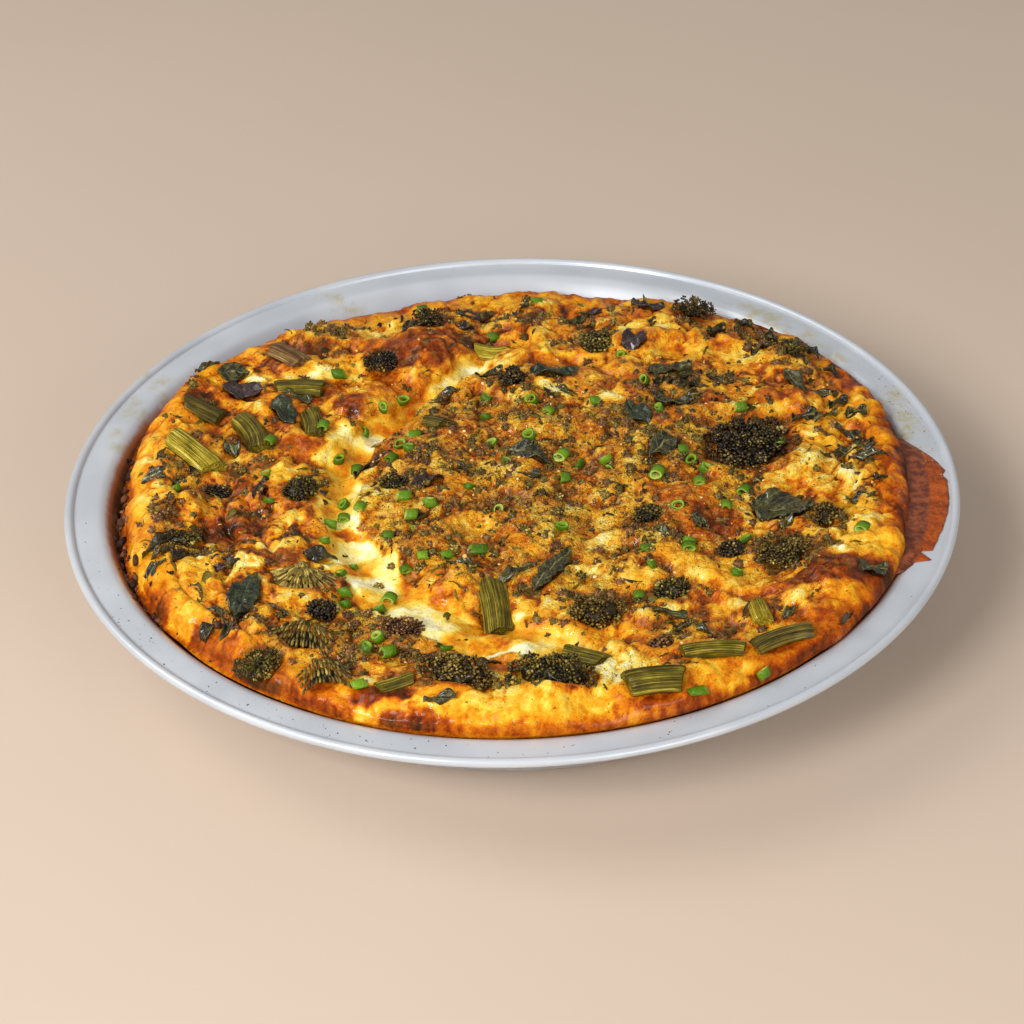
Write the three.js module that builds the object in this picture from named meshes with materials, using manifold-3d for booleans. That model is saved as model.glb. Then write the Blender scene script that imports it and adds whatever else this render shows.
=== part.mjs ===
// A crustless quiche of broccoli, leaves and chives, baked in its round coated tin.
// Millimetres, +Z up. The origin is the middle of the tin's base, and -Y is the front.
import * as THREE from "three";
import { mergeVertices } from "three/addons/utils/BufferGeometryUtils.js";
import Module from "manifold-3d";

const wasm = await Module();
wasm.setup();

// Driving sizes of the tin
const tin = {
  rimRadius: 145,
  beadRadius: 1.5,
  flangeHeight: 35,
  flangeInnerRadius: 134,
  shoulderRadius: 131.6,
  wallTopRadius: 129.7,
  wallTopHeight: 31.6,
  wallFootRadius: 107.9,
  wallFootHeight: 3.4,
  floorRadius: 104.6,
  sheet: 1.1,
  segments: 54,
};

// Clearances that keep every piece a body of its own
const gap = 0.3;
const wallGap = 0.6;

// The baked egg: twelve stations round the rim, 30 degrees apart, from +X towards the back
const rimStations = [
  { radius: 128.3, foot: 35.7, crest: 41.0, roll: 10 },
  { radius: 131.0, foot: 35.5, crest: 40.0, roll: 11 },
  { radius: 127.3, foot: 32.0, crest: 37.5, roll: 13 },
  { radius: 125.0, foot: 29.5, crest: 36.5, roll: 15 },
  { radius: 124.0, foot: 30.0, crest: 37.5, roll: 14 },
  { radius: 127.0, foot: 32.5, crest: 41.0, roll: 11 },
  { radius: 125.6, foot: 33.5, crest: 42.0, roll: 9 },
  { radius: 127.4, foot: 33.0, crest: 41.0, roll: 9 },
  { radius: 130.8, foot: 35.5, crest: 41.0, roll: 10 },
  { radius: 132.4, foot: 35.8, crest: 41.8, roll: 10 },
  { radius: 132.8, foot: 35.8, crest: 41.6, roll: 9 },
  { radius: 131.8, foot: 35.7, crest: 41.4, roll: 9 },
];
const bake = {
  level: 38.6,
  blendWidth: 24,
  floorHeight: 1.5,
  footHeight: 4,
  rings: 19,
  ruffles: [
    { count: 9, depth: 0.5, shift: 1.0 },
    { count: 17, depth: 0.35, shift: 2.0 },
    { count: 31, depth: 0.25, shift: 0.4 },
  ],
};

// Long soft ripples of the surface, each shorter and lower than the one before
const ripples = { count: 4, longest: 40, shrink: 0.74, steepness: 0.026, goldenAngle: 2.399963 };

// The wet pale hollow that winds from the back to the front
const hollow = {
  path: [[-8, 79], [-22, 56], [-42, 30], [-56, 3], [-54, -27], [-42, -54], [-20, -73], [8, -86]],
  halfWidth: 7,
  depth: 4.2,
};

// Puffed places and dips of the bake: place, half lengths, turn in degrees, rise
const swells = [
  { x: -32, y: 72, along: 17, across: 13, turn: 0, rise: 4.0 },
  { x: 8, y: 5, along: 48, across: 38, turn: 0, rise: 1.5 },
  { x: -75, y: -5, along: 11, across: 9, turn: 20, rise: 4.0 },
  { x: -110, y: -20, along: 13, across: 7, turn: -10, rise: 3.5 },
  { x: -118, y: 6, along: 9, across: 9, turn: 0, rise: 2.5 },
  { x: -119, y: -35, along: 8, across: 9, turn: 0, rise: 2.0 },
  { x: -108, y: 54, along: 20, across: 6, turn: 42, rise: 2.5 },
  { x: -60, y: 66, along: 22, across: 7, turn: 8, rise: 2.5 },
  { x: -52, y: 40, along: 8, across: 9, turn: 0, rise: 3.0 },
  { x: 54, y: -20, along: 14, across: 9, turn: 0, rise: 2.8 },
  { x: 53, y: 25, along: 8, across: 6, turn: 0, rise: 1.8 },
  { x: 56, y: 77, along: 13, across: 7, turn: 0, rise: 2.2 },
  { x: 90, y: 36, along: 10, across: 6, turn: 0, rise: 2.2 },
  { x: 98, y: -66, along: 17, across: 11, turn: 30, rise: 2.5 },
  { x: 81, y: -72, along: 8, across: 8, turn: 0, rise: 3.0 },
  { x: 33, y: 42, along: 7, across: 5, turn: 0, rise: 1.8 },
  { x: 13, y: -119, along: 9, across: 6, turn: 0, rise: 1.5 },
  { x: -85, y: -96, along: 8, across: 7, turn: 0, rise: 2.5 },
  { x: -45, y: -117, along: 14, across: 6, turn: -12, rise: 1.6 },
  { x: -88, y: -26, along: 15, across: 7, turn: 0, rise: -3.0 },
  { x: 72, y: -33, along: 12, across: 8, turn: 0, rise: -1.6 },
  { x: -98, y: 28, along: 9, across: 12, turn: 0, rise: -1.6 },
];

// The thin tongue of egg that ran over the rim on the right and baked on
const tongue = {
  bottom: 35.4,
  thickness: 0.9,
  innerRadius: 124,
  edge: [
    { azimuth: 8, radius: 131 },
    { azimuth: 5.5, radius: 134.5 },
    { azimuth: 2.5, radius: 138.5 },
    { azimuth: -0.5, radius: 141.2 },
    { azimuth: -1.6, radius: 139.8 },
    { azimuth: -2.8, radius: 141.2 },
    { azimuth: -8, radius: 141.2 },
    { azimuth: -12, radius: 140.4 },
    { azimuth: -16, radius: 139.4 },
    { azimuth: -19.3, radius: 138.6 },
    { azimuth: -19.9, radius: 134.4 },
    { azimuth: -21.4, radius: 139.6 },
    { azimuth: -22.6, radius: 135 },
    { azimuth: -25, radius: 133.2 },
    { azimuth: -27, radius: 131 },
  ],
};

// Slices of chive by region: place, and for one lying on its side the way it points, in degrees
const chive = { radius: 2.3, bore: 1.2, length: 3.6, sunk: 1.2, rise: 0.7, tilt: 12, sides: 5, clearance: 1.2 };
const chiveSpots = {
  backEdge: [[-30, 108, 10], [11, 108, 0]],
  back: [[-58, 58, 0], [-36, 44.5], [-42.5, 38], [-8, 46], [39.5, 67.5], [46, 48.5]],
  backMiddle: [[-8, 30.5], [-6, 16], [6.5, 18], [7.5, 36], [13, 32, 50], [29, 38.5, 0], [50, 30.5]],
  middle: [[-1.5, 1], [16.5, 5, 60], [22.5, 4.5], [31, 4], [32, -1.5], [17, -9.5, 10], [-13.5, -11]],
  hollowTop: [[-49, 30], [-32, 20.5, 0], [-36.5, 15.5], [-33, 10], [-39, 8, 60], [-56.5, 13], [-50.5, 5.5, 90]],
  hollowMiddle: [[-54, -13.5], [-54, -20, 90], [-48.5, -19.5, 70], [-58, -25], [-59, -38], [-50.5, -45]],
  left: [[-79, -2], [-77.5, -16], [-107.5, -13.5]],
  middleLeft: [[-34.5, -16.5, 0], [-26, -21], [-32, -26.5, 0], [-30.5, -31.5], [-39, -35.5, 0]],
  middleFront: [[-4.5, -22.5], [-28, -47.5, 0], [-33.5, -50, 110], [-20.5, -46.5, 20], [-11, -45, 0], [15.5, -35]],
  frontLeft: [[-53.5, -52], [-52, -63.5], [-51.5, -69.5], [-38.5, -63.5, 70], [-41, -71.5], [-41, -89]],
  front: [[-44.5, -93.5], [-38, -95, 20], [-20.5, -94], [-45.5, -114, 20], [52.4, -120, 10], [72.4, -109.3]],
  right: [[47, -8.5, 70], [56.5, 6, 0], [58.5, 0], [63, -4.5], [60, -15.5, 90], [74.5, -15, 60], [77, 31, 0]],
  frontRight: [[52.5, -28], [68, -25, 80], [55, -43], [54.5, -48.5, 90], [73, -40], [41.5, -48.5, 0], [42.5, -58.5]],
  farRight: [[68.5, -60], [37.8, -71, 90], [109, -42, 60]],
};

// Broccoli heads: place, turn in degrees, length, width and height above the egg
const floretSpecs = {
  floret_right_large: { x: 79, y: 10.5, turn: 5, length: 33, width: 27, height: 8, detail: 2 },
  floret_front_large: { x: 10, y: -112.5, turn: -8, length: 25, width: 15, height: 7.5, detail: 2 },
  floret_front_left: { x: -17.5, y: -110, turn: -18, length: 23, width: 13.5, height: 5.5 },
  floret_left_front: { x: -75.5, y: -102, turn: 40, length: 18, width: 13, height: 5 },
  floret_middle_front: { x: 25, y: -78.5, turn: 4, length: 17, width: 13, height: 5 },
  floret_right_middle: { x: 84.5, y: -49.5, turn: 10, length: 18, width: 15, height: 4 },
  floret_back_left: { x: -28, y: 93, turn: -25, length: 13, width: 11, height: 6 },
  floret_back_edge: { x: 66, y: 98, turn: -20, length: 18, width: 10, height: 7 },
  floret_back_middle: { x: 31, y: 77, turn: 70, length: 14, width: 11, height: 4 },
  floret_back_small: { x: 1, y: 53.5, turn: 0, length: 10, width: 9, height: 4 },
  floret_left_middle: { x: -68, y: -11.5, turn: 60, length: 13, width: 10, height: 6 },
  floret_left_small: { x: -94, y: -8, turn: 0, length: 10, width: 8, height: 4 },
  floret_left_flat: { x: -104.5, y: -37, turn: -5, length: 15, width: 8, height: 3 },
  floret_hollow_side: { x: -37.5, y: -7, turn: 0, length: 9, width: 8, height: 4 },
  floret_upper_left: { x: -43.5, y: 65, turn: 0, length: 11, width: 10, height: 4 },
  floret_right_front: { x: 48, y: -70, turn: 0, length: 11, width: 9, height: 4.5 },
  floret_centre_right: { x: 43, y: -29, turn: 10, length: 10, width: 8, height: 3.5 },
  floret_purple: { x: -34, y: -84, turn: -10, length: 12, width: 8, height: 4 },
  floret_front_dark: { x: -58, y: -74, turn: 0, length: 9, width: 8, height: 4 },
  floret_right_small: { x: 68, y: -49, turn: 0, length: 8, width: 7, height: 4 },
  floret_far_right: { x: 98.5, y: -33, turn: 80, length: 10, width: 7, height: 4 },
  floret_back_right: { x: 98, y: 65, turn: -35, length: 12, width: 9, height: 4 },
  floret_brown: { x: 43, y: -96.5, turn: 10, length: 9, width: 7, height: 3.5 },
  floret_fan: { x: -66, y: -57, turn: 10, length: 16.5, width: 14, height: 5 },
  floret_curl: { x: -63, y: -89, turn: -15, length: 17, width: 11, height: 5 },
  floret_curl_front: { x: -56.5, y: -110, turn: 15, length: 13, width: 9.5, height: 4.5 },
};
const floret = { lumpiness: 0.17, lumpSize: 5.2, sunk: 0.45 };

// Cut stalks: place, turn in degrees, length, width, thickness and bow
const stalkSpecs = {
  stalk_left_large: { x: -104, y: 9, turn: -38, length: 17.5, width: 11, thick: 6.5, bow: 0 },
  stalk_left_upright: { x: -86, y: 24, turn: -70, length: 24, width: 8.5, thick: 6, bow: 1.5 },
  stalk_upper_left: { x: -103, y: 38.5, turn: -15, length: 12.5, width: 7, thick: 4.5, bow: 0 },
  stalk_brown: { x: -76, y: 69, turn: -47, length: 16, width: 8, thick: 5, bow: 0.6 },
  stalk_back_left: { x: -71, y: 49.5, turn: 0, length: 16, width: 7.5, thick: 5, bow: 0.5 },
  stalk_hollow_side: { x: -66, y: 28.5, turn: -82, length: 18, width: 7.5, thick: 5, bow: 0.8 },
  stalk_back_pale: { x: -6, y: 79, turn: -15, length: 12, width: 8, thick: 4.5, bow: 0 },
  stalk_middle: { x: -6, y: -72, turn: 96, length: 23, width: 9, thick: 6, bow: -1.2 },
  stalk_front_slant: { x: 20, y: -101.5, turn: -35, length: 14, width: 7.5, thick: 5.5, bow: 0 },
  stalk_front_thick: { x: 40, y: -119, turn: 3, length: 16.5, width: 9.5, thick: 6.5, bow: 0 },
  stalk_front_long: { x: 58, y: -104, turn: 2, length: 18.5, width: 5.5, thick: 4.5, bow: 0.4 },
  stalk_twisted: { x: 79, y: -97.5, turn: 26, length: 20, width: 6, thick: 4.5, bow: 1.6 },
  stalk_right_upright: { x: 73.5, y: -83.5, turn: -82, length: 11, width: 6, thick: 4.5, bow: 0 },
  stalk_front_small: { x: -35, y: -114, turn: 22, length: 11, width: 5.5, thick: 4.5, bow: 0 },
  stalk_small: { x: -25, y: 25, turn: -40, length: 9, width: 5, thick: 4, bow: 0 },
};
const stalk = { sides: 7, stations: 3, sunk: 0.25, slant: 0.3, ridge: 0.07 };

// Leaves: place, turn in degrees, length, width, bend across and height of the waves
const leafSpecs = {
  leaf_right_large: { x: 85.5, y: -26, turn: -20, length: 18, width: 15, waves: 1.6 },
  leaf_diagonal: { x: 12, y: -56, turn: 62, length: 26, width: 7, waves: 1.1 },
  leaf_teal: { x: -82, y: -69.5, turn: -100, length: 22, width: 9, waves: 1.2 },
  leaf_back: { x: 15.5, y: 56.5, turn: 14, length: 17, width: 6.5, waves: 1.0 },
  leaf_centre_right: { x: 55, y: 38, turn: -12, length: 14, width: 9, waves: 1.3 },
  leaf_centre_slant: { x: 43, y: 28.5, turn: -62, length: 15, width: 7, waves: 1.0 },
  leaf_centre_dark: { x: 50, y: 8.5, turn: 48, length: 15, width: 8, waves: 1.3 },
  leaf_back_olive: { x: 55, y: 56, turn: 14, length: 16, width: 6.5, waves: 1.1 },
  leaf_back_purple: { x: 44, y: 74, turn: 30, length: 10, width: 8, waves: 1.2 },
  leaf_left_upper: { x: -76, y: 36.5, turn: -62, length: 17, width: 8, waves: 1.1 },
  leaf_left_purple: { x: -90.5, y: 50.5, turn: -10, length: 14, width: 9.5, waves: 1.3 },
  leaf_left_green: { x: -94, y: 59.5, turn: 5, length: 11, width: 8, waves: 1.1 },
  leaf_left_wrinkled: { x: -92, y: 16, turn: -70, length: 11, width: 6, waves: 1.0 },
  leaf_centre: { x: 6, y: 4, turn: -30, length: 16, width: 6.5, waves: 1.0 },
  leaf_black: { x: -60, y: -46.5, turn: -8, length: 11, width: 5.5, waves: 1.0 },
  leaf_far_right: { x: 97, y: 48.5, turn: -65, length: 13, width: 6, waves: 1.0 },
  leaf_edge_right: { x: 110.5, y: -63, turn: 20, length: 11, width: 5.5, waves: 0.8 },
};
const leaf = { sheet: 0.9, lift: 0.95, cell: 3.6, blunt: 0.22 };

const tau = 2 * Math.PI;
const radians = (degrees) => (degrees * Math.PI) / 180;

// A smooth closed curve through the values of the rim stations
function rimValue(key, azimuth) {
  const count = rimStations.length;
  const place = (((azimuth / tau) % 1) + 1) % 1 * count;
  const i = Math.floor(place);
  const t = place - i;
  const [a, b, c, d] = [-1, 0, 1, 2].map((step) => rimStations[(i + step + count) % count][key]);
  const curve = -a + 3 * b - 3 * c + d;
  return 0.5 * (2 * b + (c - a) * t + (2 * a - 5 * b + 4 * c - d) * t * t + curve * t * t * t);
}

function edgeRadius(azimuth) {
  const ruffle = (sum, wave) => sum + wave.depth * Math.sin(wave.count * azimuth + wave.shift);
  return bake.ruffles.reduce(ruffle, rimValue("radius", azimuth) - 0.4);
}

function distanceToHollow(x, y) {
  let nearest = Infinity;
  for (let i = 0; i + 1 < hollow.path.length; i += 1) {
    const [ax, ay] = hollow.path[i];
    const [bx, by] = hollow.path[i + 1];
    const along = ((x - ax) * (bx - ax) + (y - ay) * (by - ay)) / ((bx - ax) ** 2 + (by - ay) ** 2);
    const t = Math.min(1, Math.max(0, along));
    nearest = Math.min(nearest, Math.hypot(x - ax - t * (bx - ax), y - ay - t * (by - ay)));
  }
  return nearest;
}

function swellRise(swell, x, y) {
  const cosine = Math.cos(radians(swell.turn));
  const sine = Math.sin(radians(swell.turn));
  const u = ((x - swell.x) * cosine + (y - swell.y) * sine) / swell.along;
  const v = ((y - swell.y) * cosine - (x - swell.x) * sine) / swell.across;
  return swell.rise * Math.exp(-(u * u + v * v));
}

function rippleRise(x, y) {
  let rise = 0;
  for (let i = 0; i < ripples.count; i += 1) {
    const length = ripples.longest * ripples.shrink ** i;
    const way = ripples.goldenAngle * i;
    const phase = (tau * (x * Math.cos(way) + y * Math.sin(way))) / length + 1.7 * i;
    rise += ripples.steepness * length * Math.sin(phase + 1.2 * Math.sin(phase * 0.37));
  }
  return rise;
}

// Height of the baked egg's top over a point
function bakeHeight(x, y) {
  const azimuth = Math.atan2(y, x);
  const inward = Math.max(0, edgeRadius(azimuth) - Math.hypot(x, y));
  const roll = rimValue("roll", azimuth);
  const towardsMiddle = THREE.MathUtils.smoothstep(inward, roll, roll + bake.blendWidth);
  const crest = rimValue("crest", azimuth);
  const ground = crest + (bake.level - crest) * towardsMiddle;
  const dip = hollow.depth * Math.exp(-((distanceToHollow(x, y) / hollow.halfWidth) ** 2));
  const rise = swells.reduce((sum, swell) => sum + swellRise(swell, x, y), rippleRise(x, y) - dip);
  const foot = rimValue("foot", azimuth);
  const outward = 1 - Math.min(1, inward / roll);
  return foot + (ground + rise - foot) * Math.sqrt(1 - outward * outward);
}

// Inner face of the tin's wall at a height
function wallRadius(height) {
  const share = (height - tin.wallFootHeight) / (tin.wallTopHeight - tin.wallFootHeight);
  return tin.wallFootRadius + (tin.wallTopRadius - tin.wallFootRadius) * share;
}

// Joins two loops of corners, each running anticlockwise, with the faces outwards
function stitch(faces, upper, lower) {
  const upperSteps = upper.length > 1 ? upper.length : 0;
  const lowerSteps = lower.length > 1 ? lower.length : 0;
  let i = 0;
  let j = 0;
  while (i < upperSteps || j < lowerSteps) {
    const lowerIsNext = (j + 1) * upperSteps <= (i + 1) * lowerSteps;
    const corners = [upper[i % upper.length], lower[j % lower.length]];
    if (i >= upperSteps || (j < lowerSteps && lowerIsNext)) {
      j += 1;
      faces.push(...corners, lower[j % lower.length]);
    } else {
      i += 1;
      faces.push(...corners, upper[i % upper.length]);
    }
  }
}

// A closed solid from loops of points, from the top one to the bottom one
function solidFromLoops(loops) {
  const points = [];
  const faces = [];
  const corners = loops.map((loop) => loop.map((point) => points.push(...point) / 3 - 1));
  for (let i = 0; i + 1 < corners.length; i += 1) {
    stitch(faces, corners[i], corners[i + 1]);
  }
  return solidFrom(points, faces);
}

function solidFrom(points, faces) {
  const mesh = new wasm.Mesh({
    numProp: 3,
    vertProperties: Float32Array.from(points),
    triVerts: Uint32Array.from(faces),
  });
  return new wasm.Manifold(mesh);
}

function solidOfGeometry(geometry) {
  const bare = geometry.clone();
  bare.deleteAttribute("normal");
  bare.deleteAttribute("uv");
  const merged = mergeVertices(bare, 1e-4);
  return solidFrom(merged.getAttribute("position").array, merged.getIndex().array);
}

function geometryOfSolid(solid) {
  const mesh = solid.getMesh();
  const geometry = new THREE.BufferGeometry();
  geometry.setAttribute("position", new THREE.BufferAttribute(mesh.vertProperties, 3));
  geometry.setIndex(new THREE.BufferAttribute(mesh.triVerts, 1));
  geometry.computeVertexNormals();
  return geometry;
}

// A cut may leave scraps, and only the largest piece is kept
function largestPiece(solid) {
  const pieces = solid.decompose();
  return pieces.reduce((best, piece) => (piece.volume() > best.volume() ? piece : best));
}

function makeTinGeometry() {
  const { rimRadius, beadRadius, flangeHeight, sheet } = tin;
  const under = flangeHeight - sheet;
  const beadCentre = new THREE.Vector2(rimRadius - beadRadius, flangeHeight - 0.1);
  const outline = [
    new THREE.Vector2(0, 0),
    new THREE.Vector2(tin.floorRadius, 0),
    new THREE.Vector2(tin.wallFootRadius + 0.8, 2.7),
    new THREE.Vector2(tin.wallTopRadius + sheet, tin.wallTopHeight + 0.2),
    new THREE.Vector2(tin.flangeInnerRadius - 0.4, under),
    new THREE.Vector2(beadCentre.x - beadRadius, under),
  ];
  for (let step = 0; step <= 4; step += 1) {
    const angle = radians(-110 + 62 * step);
    const x = beadCentre.x + beadRadius * Math.cos(angle);
    outline.push(new THREE.Vector2(x, beadCentre.y + beadRadius * Math.sin(angle)));
  }
  outline.push(
    new THREE.Vector2(beadCentre.x - beadRadius - 0.3, flangeHeight - 0.1),
    new THREE.Vector2(tin.flangeInnerRadius, flangeHeight),
    new THREE.Vector2(tin.shoulderRadius, flangeHeight - 1.1),
    new THREE.Vector2(tin.wallTopRadius, tin.wallTopHeight),
    new THREE.Vector2(tin.wallFootRadius, tin.wallFootHeight),
    new THREE.Vector2(tin.floorRadius, sheet),
    new THREE.Vector2(0, sheet),
  );
  return new THREE.LatheGeometry(outline, tin.segments).rotateX(Math.PI / 2);
}

// One loop of the bake at a height, held clear of the wall and inside the edge
function sideLoop(count, inset, heightOf) {
  return Array.from({ length: count }, (_, i) => {
    const azimuth = (i / count) * tau;
    const height = heightOf(azimuth);
    const radius = Math.min(edgeRadius(azimuth) - inset, wallRadius(height) - wallGap);
    return [radius * Math.cos(azimuth), radius * Math.sin(azimuth), height];
  });
}

function makeBakeCore() {
  const loops = [[[0, 0, bakeHeight(0, 0)]]];
  for (let ring = 1; ring <= bake.rings; ring += 1) {
    const count = 6 * ring;
    loops.push(
      Array.from({ length: count }, (_, i) => {
        const azimuth = (i / count) * tau;
        const radius = (edgeRadius(azimuth) * ring) / bake.rings;
        const [x, y] = [radius * Math.cos(azimuth), radius * Math.sin(azimuth)];
        return [x, y, bakeHeight(x, y)];
      }),
    );
  }
  const rimCount = 6 * bake.rings;
  const shoulder = tin.wallTopHeight - 0.4;
  loops.push(
    sideLoop(rimCount, 2, (azimuth) => rimValue("foot", azimuth) - 1.3),
    sideLoop(rimCount / 2, 2.6, (azimuth) => Math.min(shoulder, rimValue("foot", azimuth) - 4)),
    sideLoop(rimCount / 2, 3, () => bake.footHeight),
    sideLoop(rimCount / 2, 3, () => bake.floorHeight).map(([x, y, z]) => [x * 0.985, y * 0.985, z]),
    [[0, 0, bake.floorHeight]],
  );
  return solidFromLoops(loops);
}

// The tongue is a flat flake whose ragged edge is read off by azimuth and radius
function makeTongue() {
  const outline = new THREE.Shape();
  const at = ({ azimuth, radius }) => [
    radius * Math.cos(radians(azimuth)),
    radius * Math.sin(radians(azimuth)),
  ];
  const [first, last] = [tongue.edge[0], tongue.edge.at(-1)];
  outline.moveTo(...at({ azimuth: last.azimuth, radius: tongue.innerRadius }));
  [...tongue.edge].reverse().forEach((point) => outline.lineTo(...at(point)));
  outline.lineTo(...at({ azimuth: first.azimuth, radius: tongue.innerRadius }));
  const options = { depth: tongue.thickness, bevelEnabled: false };
  return solidOfGeometry(new THREE.ExtrudeGeometry(outline, options).translate(0, 0, tongue.bottom));
}

// Moves a shape made round the origin to its place on the egg
function placeOnBake(solid, spec) {
  return solid.rotate([0, 0, spec.turn]).translate([spec.x, spec.y, bakeHeight(spec.x, spec.y)]);
}

// A broccoli head: a dome of rounded buds, wider than it is high
function makeFloret(spec) {
  const ball = mergeVertices(bareIcosahedron(spec.detail ?? 1), 1e-4);
  const points = ball.getAttribute("position");
  const moved = [];
  const wave = (value, offset) => Math.sin((tau * value) / floret.lumpSize + offset);
  for (let i = 0; i < points.count; i += 1) {
    const x = (points.getX(i) * spec.length) / 2;
    const y = (points.getY(i) * spec.width) / 2;
    const lump = wave(x, spec.x) * wave(y, spec.y) + 0.5 * wave(x + y, spec.x + spec.y);
    const scale = 1 + floret.lumpiness * lump;
    const z = points.getZ(i) * spec.height * (points.getZ(i) < 0 ? floret.sunk : 1);
    moved.push(x * scale, y * scale, z * scale);
  }
  return placeOnBake(solidFrom(moved, ball.getIndex().array), spec);
}

function bareIcosahedron(detail) {
  const geometry = new THREE.IcosahedronGeometry(1, detail);
  geometry.deleteAttribute("normal");
  geometry.deleteAttribute("uv");
  return geometry;
}

// A cut stalk: a ridged, slightly flattened rod with slanted ends that bows along its length
function makeStalk(spec) {
  const turn = radians(spec.turn);
  const loops = [];
  for (let station = 0; station < stalk.stations; station += 1) {
    const share = station / (stalk.stations - 1);
    const along = (share - 0.5) * spec.length;
    const bow = spec.bow * (1 - (2 * share - 1) ** 2);
    const loop = Array.from({ length: stalk.sides }, (_, i) => {
      const angle = (i / stalk.sides) * tau;
      const size = 1 + (i % 2 ? stalk.ridge : -stalk.ridge);
      const across = (Math.cos(angle) * size * spec.width) / 2 + bow;
      const up = (Math.sin(angle) * size + stalk.sunk) * (spec.thick / 2);
      const end = along + stalk.slant * across * (2 * share - 1);
      const x = spec.x + end * Math.cos(turn) - across * Math.sin(turn);
      const y = spec.y + end * Math.sin(turn) + across * Math.cos(turn);
      const ax = spec.x + along * Math.cos(turn);
      const ay = spec.y + along * Math.sin(turn);
      return [x, y, bakeHeight(ax, ay) + up];
    });
    loops.push(loop);
  }
  const middle = (loop) => [loop.reduce((sum, p) => sum.map((v, k) => v + p[k] / loop.length), [0, 0, 0])];
  return solidFromLoops([middle(loops[0]), ...loops.map((loop) => loop.reverse()), middle(loops.at(-1))]);
}

// A leaf: a thin wavy sheet, with both faces split into triangles alike
function makeLeaf(spec) {
  const cellsAlong = Math.min(6, Math.round(spec.length / leaf.cell) + 1);
  const cellsAcross = Math.round(spec.width / leaf.cell);
  const turn = radians(spec.turn);
  const points = [];
  const faces = [];
  const corner = (side, i, j) => (side * (cellsAlong + 1) + i) * (cellsAcross + 1) + j;
  for (const side of [0, 1]) {
    for (let i = 0; i <= cellsAlong; i += 1) {
      const share = i / cellsAlong;
      const half = (spec.width / 2) * (leaf.blunt + (1 - leaf.blunt) * Math.sin(Math.PI * share ** 0.85));
      for (let j = 0; j <= cellsAcross; j += 1) {
        const along = (share - 0.5) * spec.length;
        const across = ((2 * j) / cellsAcross - 1) * half;
        const x = spec.x + along * Math.cos(turn) - across * Math.sin(turn);
        const y = spec.y + along * Math.sin(turn) + across * Math.cos(turn);
        const wave = Math.sin(share * 9 + spec.x) * Math.cos((across / spec.width) * 7 + spec.y);
        const lift = leaf.lift + spec.waves * (1 + wave) * 0.5;
        points.push(x, y, bakeHeight(x, y) + lift + (side ? leaf.sheet / 2 : -leaf.sheet / 2));
      }
    }
  }
  const quad = (a, b, c, d) => faces.push(a, b, c, a, c, d);
  for (let i = 0; i < cellsAlong; i += 1) {
    for (let j = 0; j < cellsAcross; j += 1) {
      const [a, b, c, d] = [corner(1, i, j), corner(1, i + 1, j), corner(1, i + 1, j + 1), corner(1, i, j + 1)];
      const down = corner(1, 0, 0);
      quad(a, b, c, d);
      faces.push(a - down, c - down, b - down, a - down, d - down, c - down);
    }
    quad(corner(0, i, 0), corner(0, i + 1, 0), corner(1, i + 1, 0), corner(1, i, 0));
    const far = cellsAcross;
    quad(corner(0, i + 1, far), corner(0, i, far), corner(1, i, far), corner(1, i + 1, far));
  }
  for (let j = 0; j < cellsAcross; j += 1) {
    const end = cellsAlong;
    quad(corner(0, 0, j + 1), corner(0, 0, j), corner(1, 0, j), corner(1, 0, j + 1));
    quad(corner(0, end, j), corner(0, end, j + 1), corner(1, end, j + 1), corner(1, end, j));
  }
  return solidFrom(points, faces);
}

// One slice of chive: a short ring standing in the egg, or a little barrel on its side
function makeChiveSlice([x, y, way]) {
  const outline = new THREE.Shape();
  const hole = new THREE.Path();
  for (let i = 0; i < chive.sides; i += 1) {
    const angle = (i / chive.sides) * tau;
    const draw = i === 0 ? "moveTo" : "lineTo";
    outline[draw](chive.radius * Math.cos(angle), chive.radius * Math.sin(angle));
    hole[draw](chive.bore * Math.cos(angle), chive.bore * Math.sin(angle));
  }
  const lies = way !== undefined;
  if (!lies) {
    outline.holes.push(hole);
  }
  const slice = solidOfGeometry(
    new THREE.ExtrudeGeometry(outline, { depth: chive.length, bevelEnabled: false }),
  );
  const height = bakeHeight(x, y);
  if (lies) {
    return slice
      .translate([0, 0, -chive.length / 2])
      .rotate([0, 90, way])
      .translate([x, y, height + chive.rise]);
  }
  const tilt = [chive.tilt * Math.sin(x), chive.tilt * Math.sin(y), 0];
  return slice.translate([0, 0, -chive.sunk]).rotate(tilt).translate([x, y, height]);
}

function isClearOf(solid, others, reach) {
  const centre = middleOf(solid);
  const grown = solid.translate(centre.map((v) => -v)).scale(chive.clearance).translate(centre);
  const near = (other) => {
    const [mx, my] = middleOf(other);
    const box = other.boundingBox();
    const size = Math.hypot(box.max[0] - box.min[0], box.max[1] - box.min[1]) / 2;
    return Math.hypot(mx - centre[0], my - centre[1]) < size + reach;
  };
  return others.filter(near).every((other) => grown.intersect(other).isEmpty());
}

function middleOf(solid) {
  const box = solid.boundingBox();
  return box.min.map((low, axis) => (low + box.max[axis]) / 2);
}

// Every slice that lies clear of the toppings and of the other slices
function makeChiveSlices(toppings) {
  const slices = [];
  for (const spot of Object.values(chiveSpots).flat()) {
    const slice = makeChiveSlice(spot);
    if (isClearOf(slice, [...toppings, ...slices], 2 * chive.radius)) {
      slices.push(slice);
    }
  }
  return slices;
}

const finishes = {
  tin: { color: 0xd7dade, roughness: 0.35, metalness: 0.55 },
  custard: { color: 0xd08a2c, roughness: 0.55, metalness: 0 },
  floret: { color: 0x2b3318, roughness: 0.85, metalness: 0 },
  stalk: { color: 0x7a7a2a, roughness: 0.6, metalness: 0 },
  leaf: { color: 0x26301c, roughness: 0.5, metalness: 0 },
};

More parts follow.
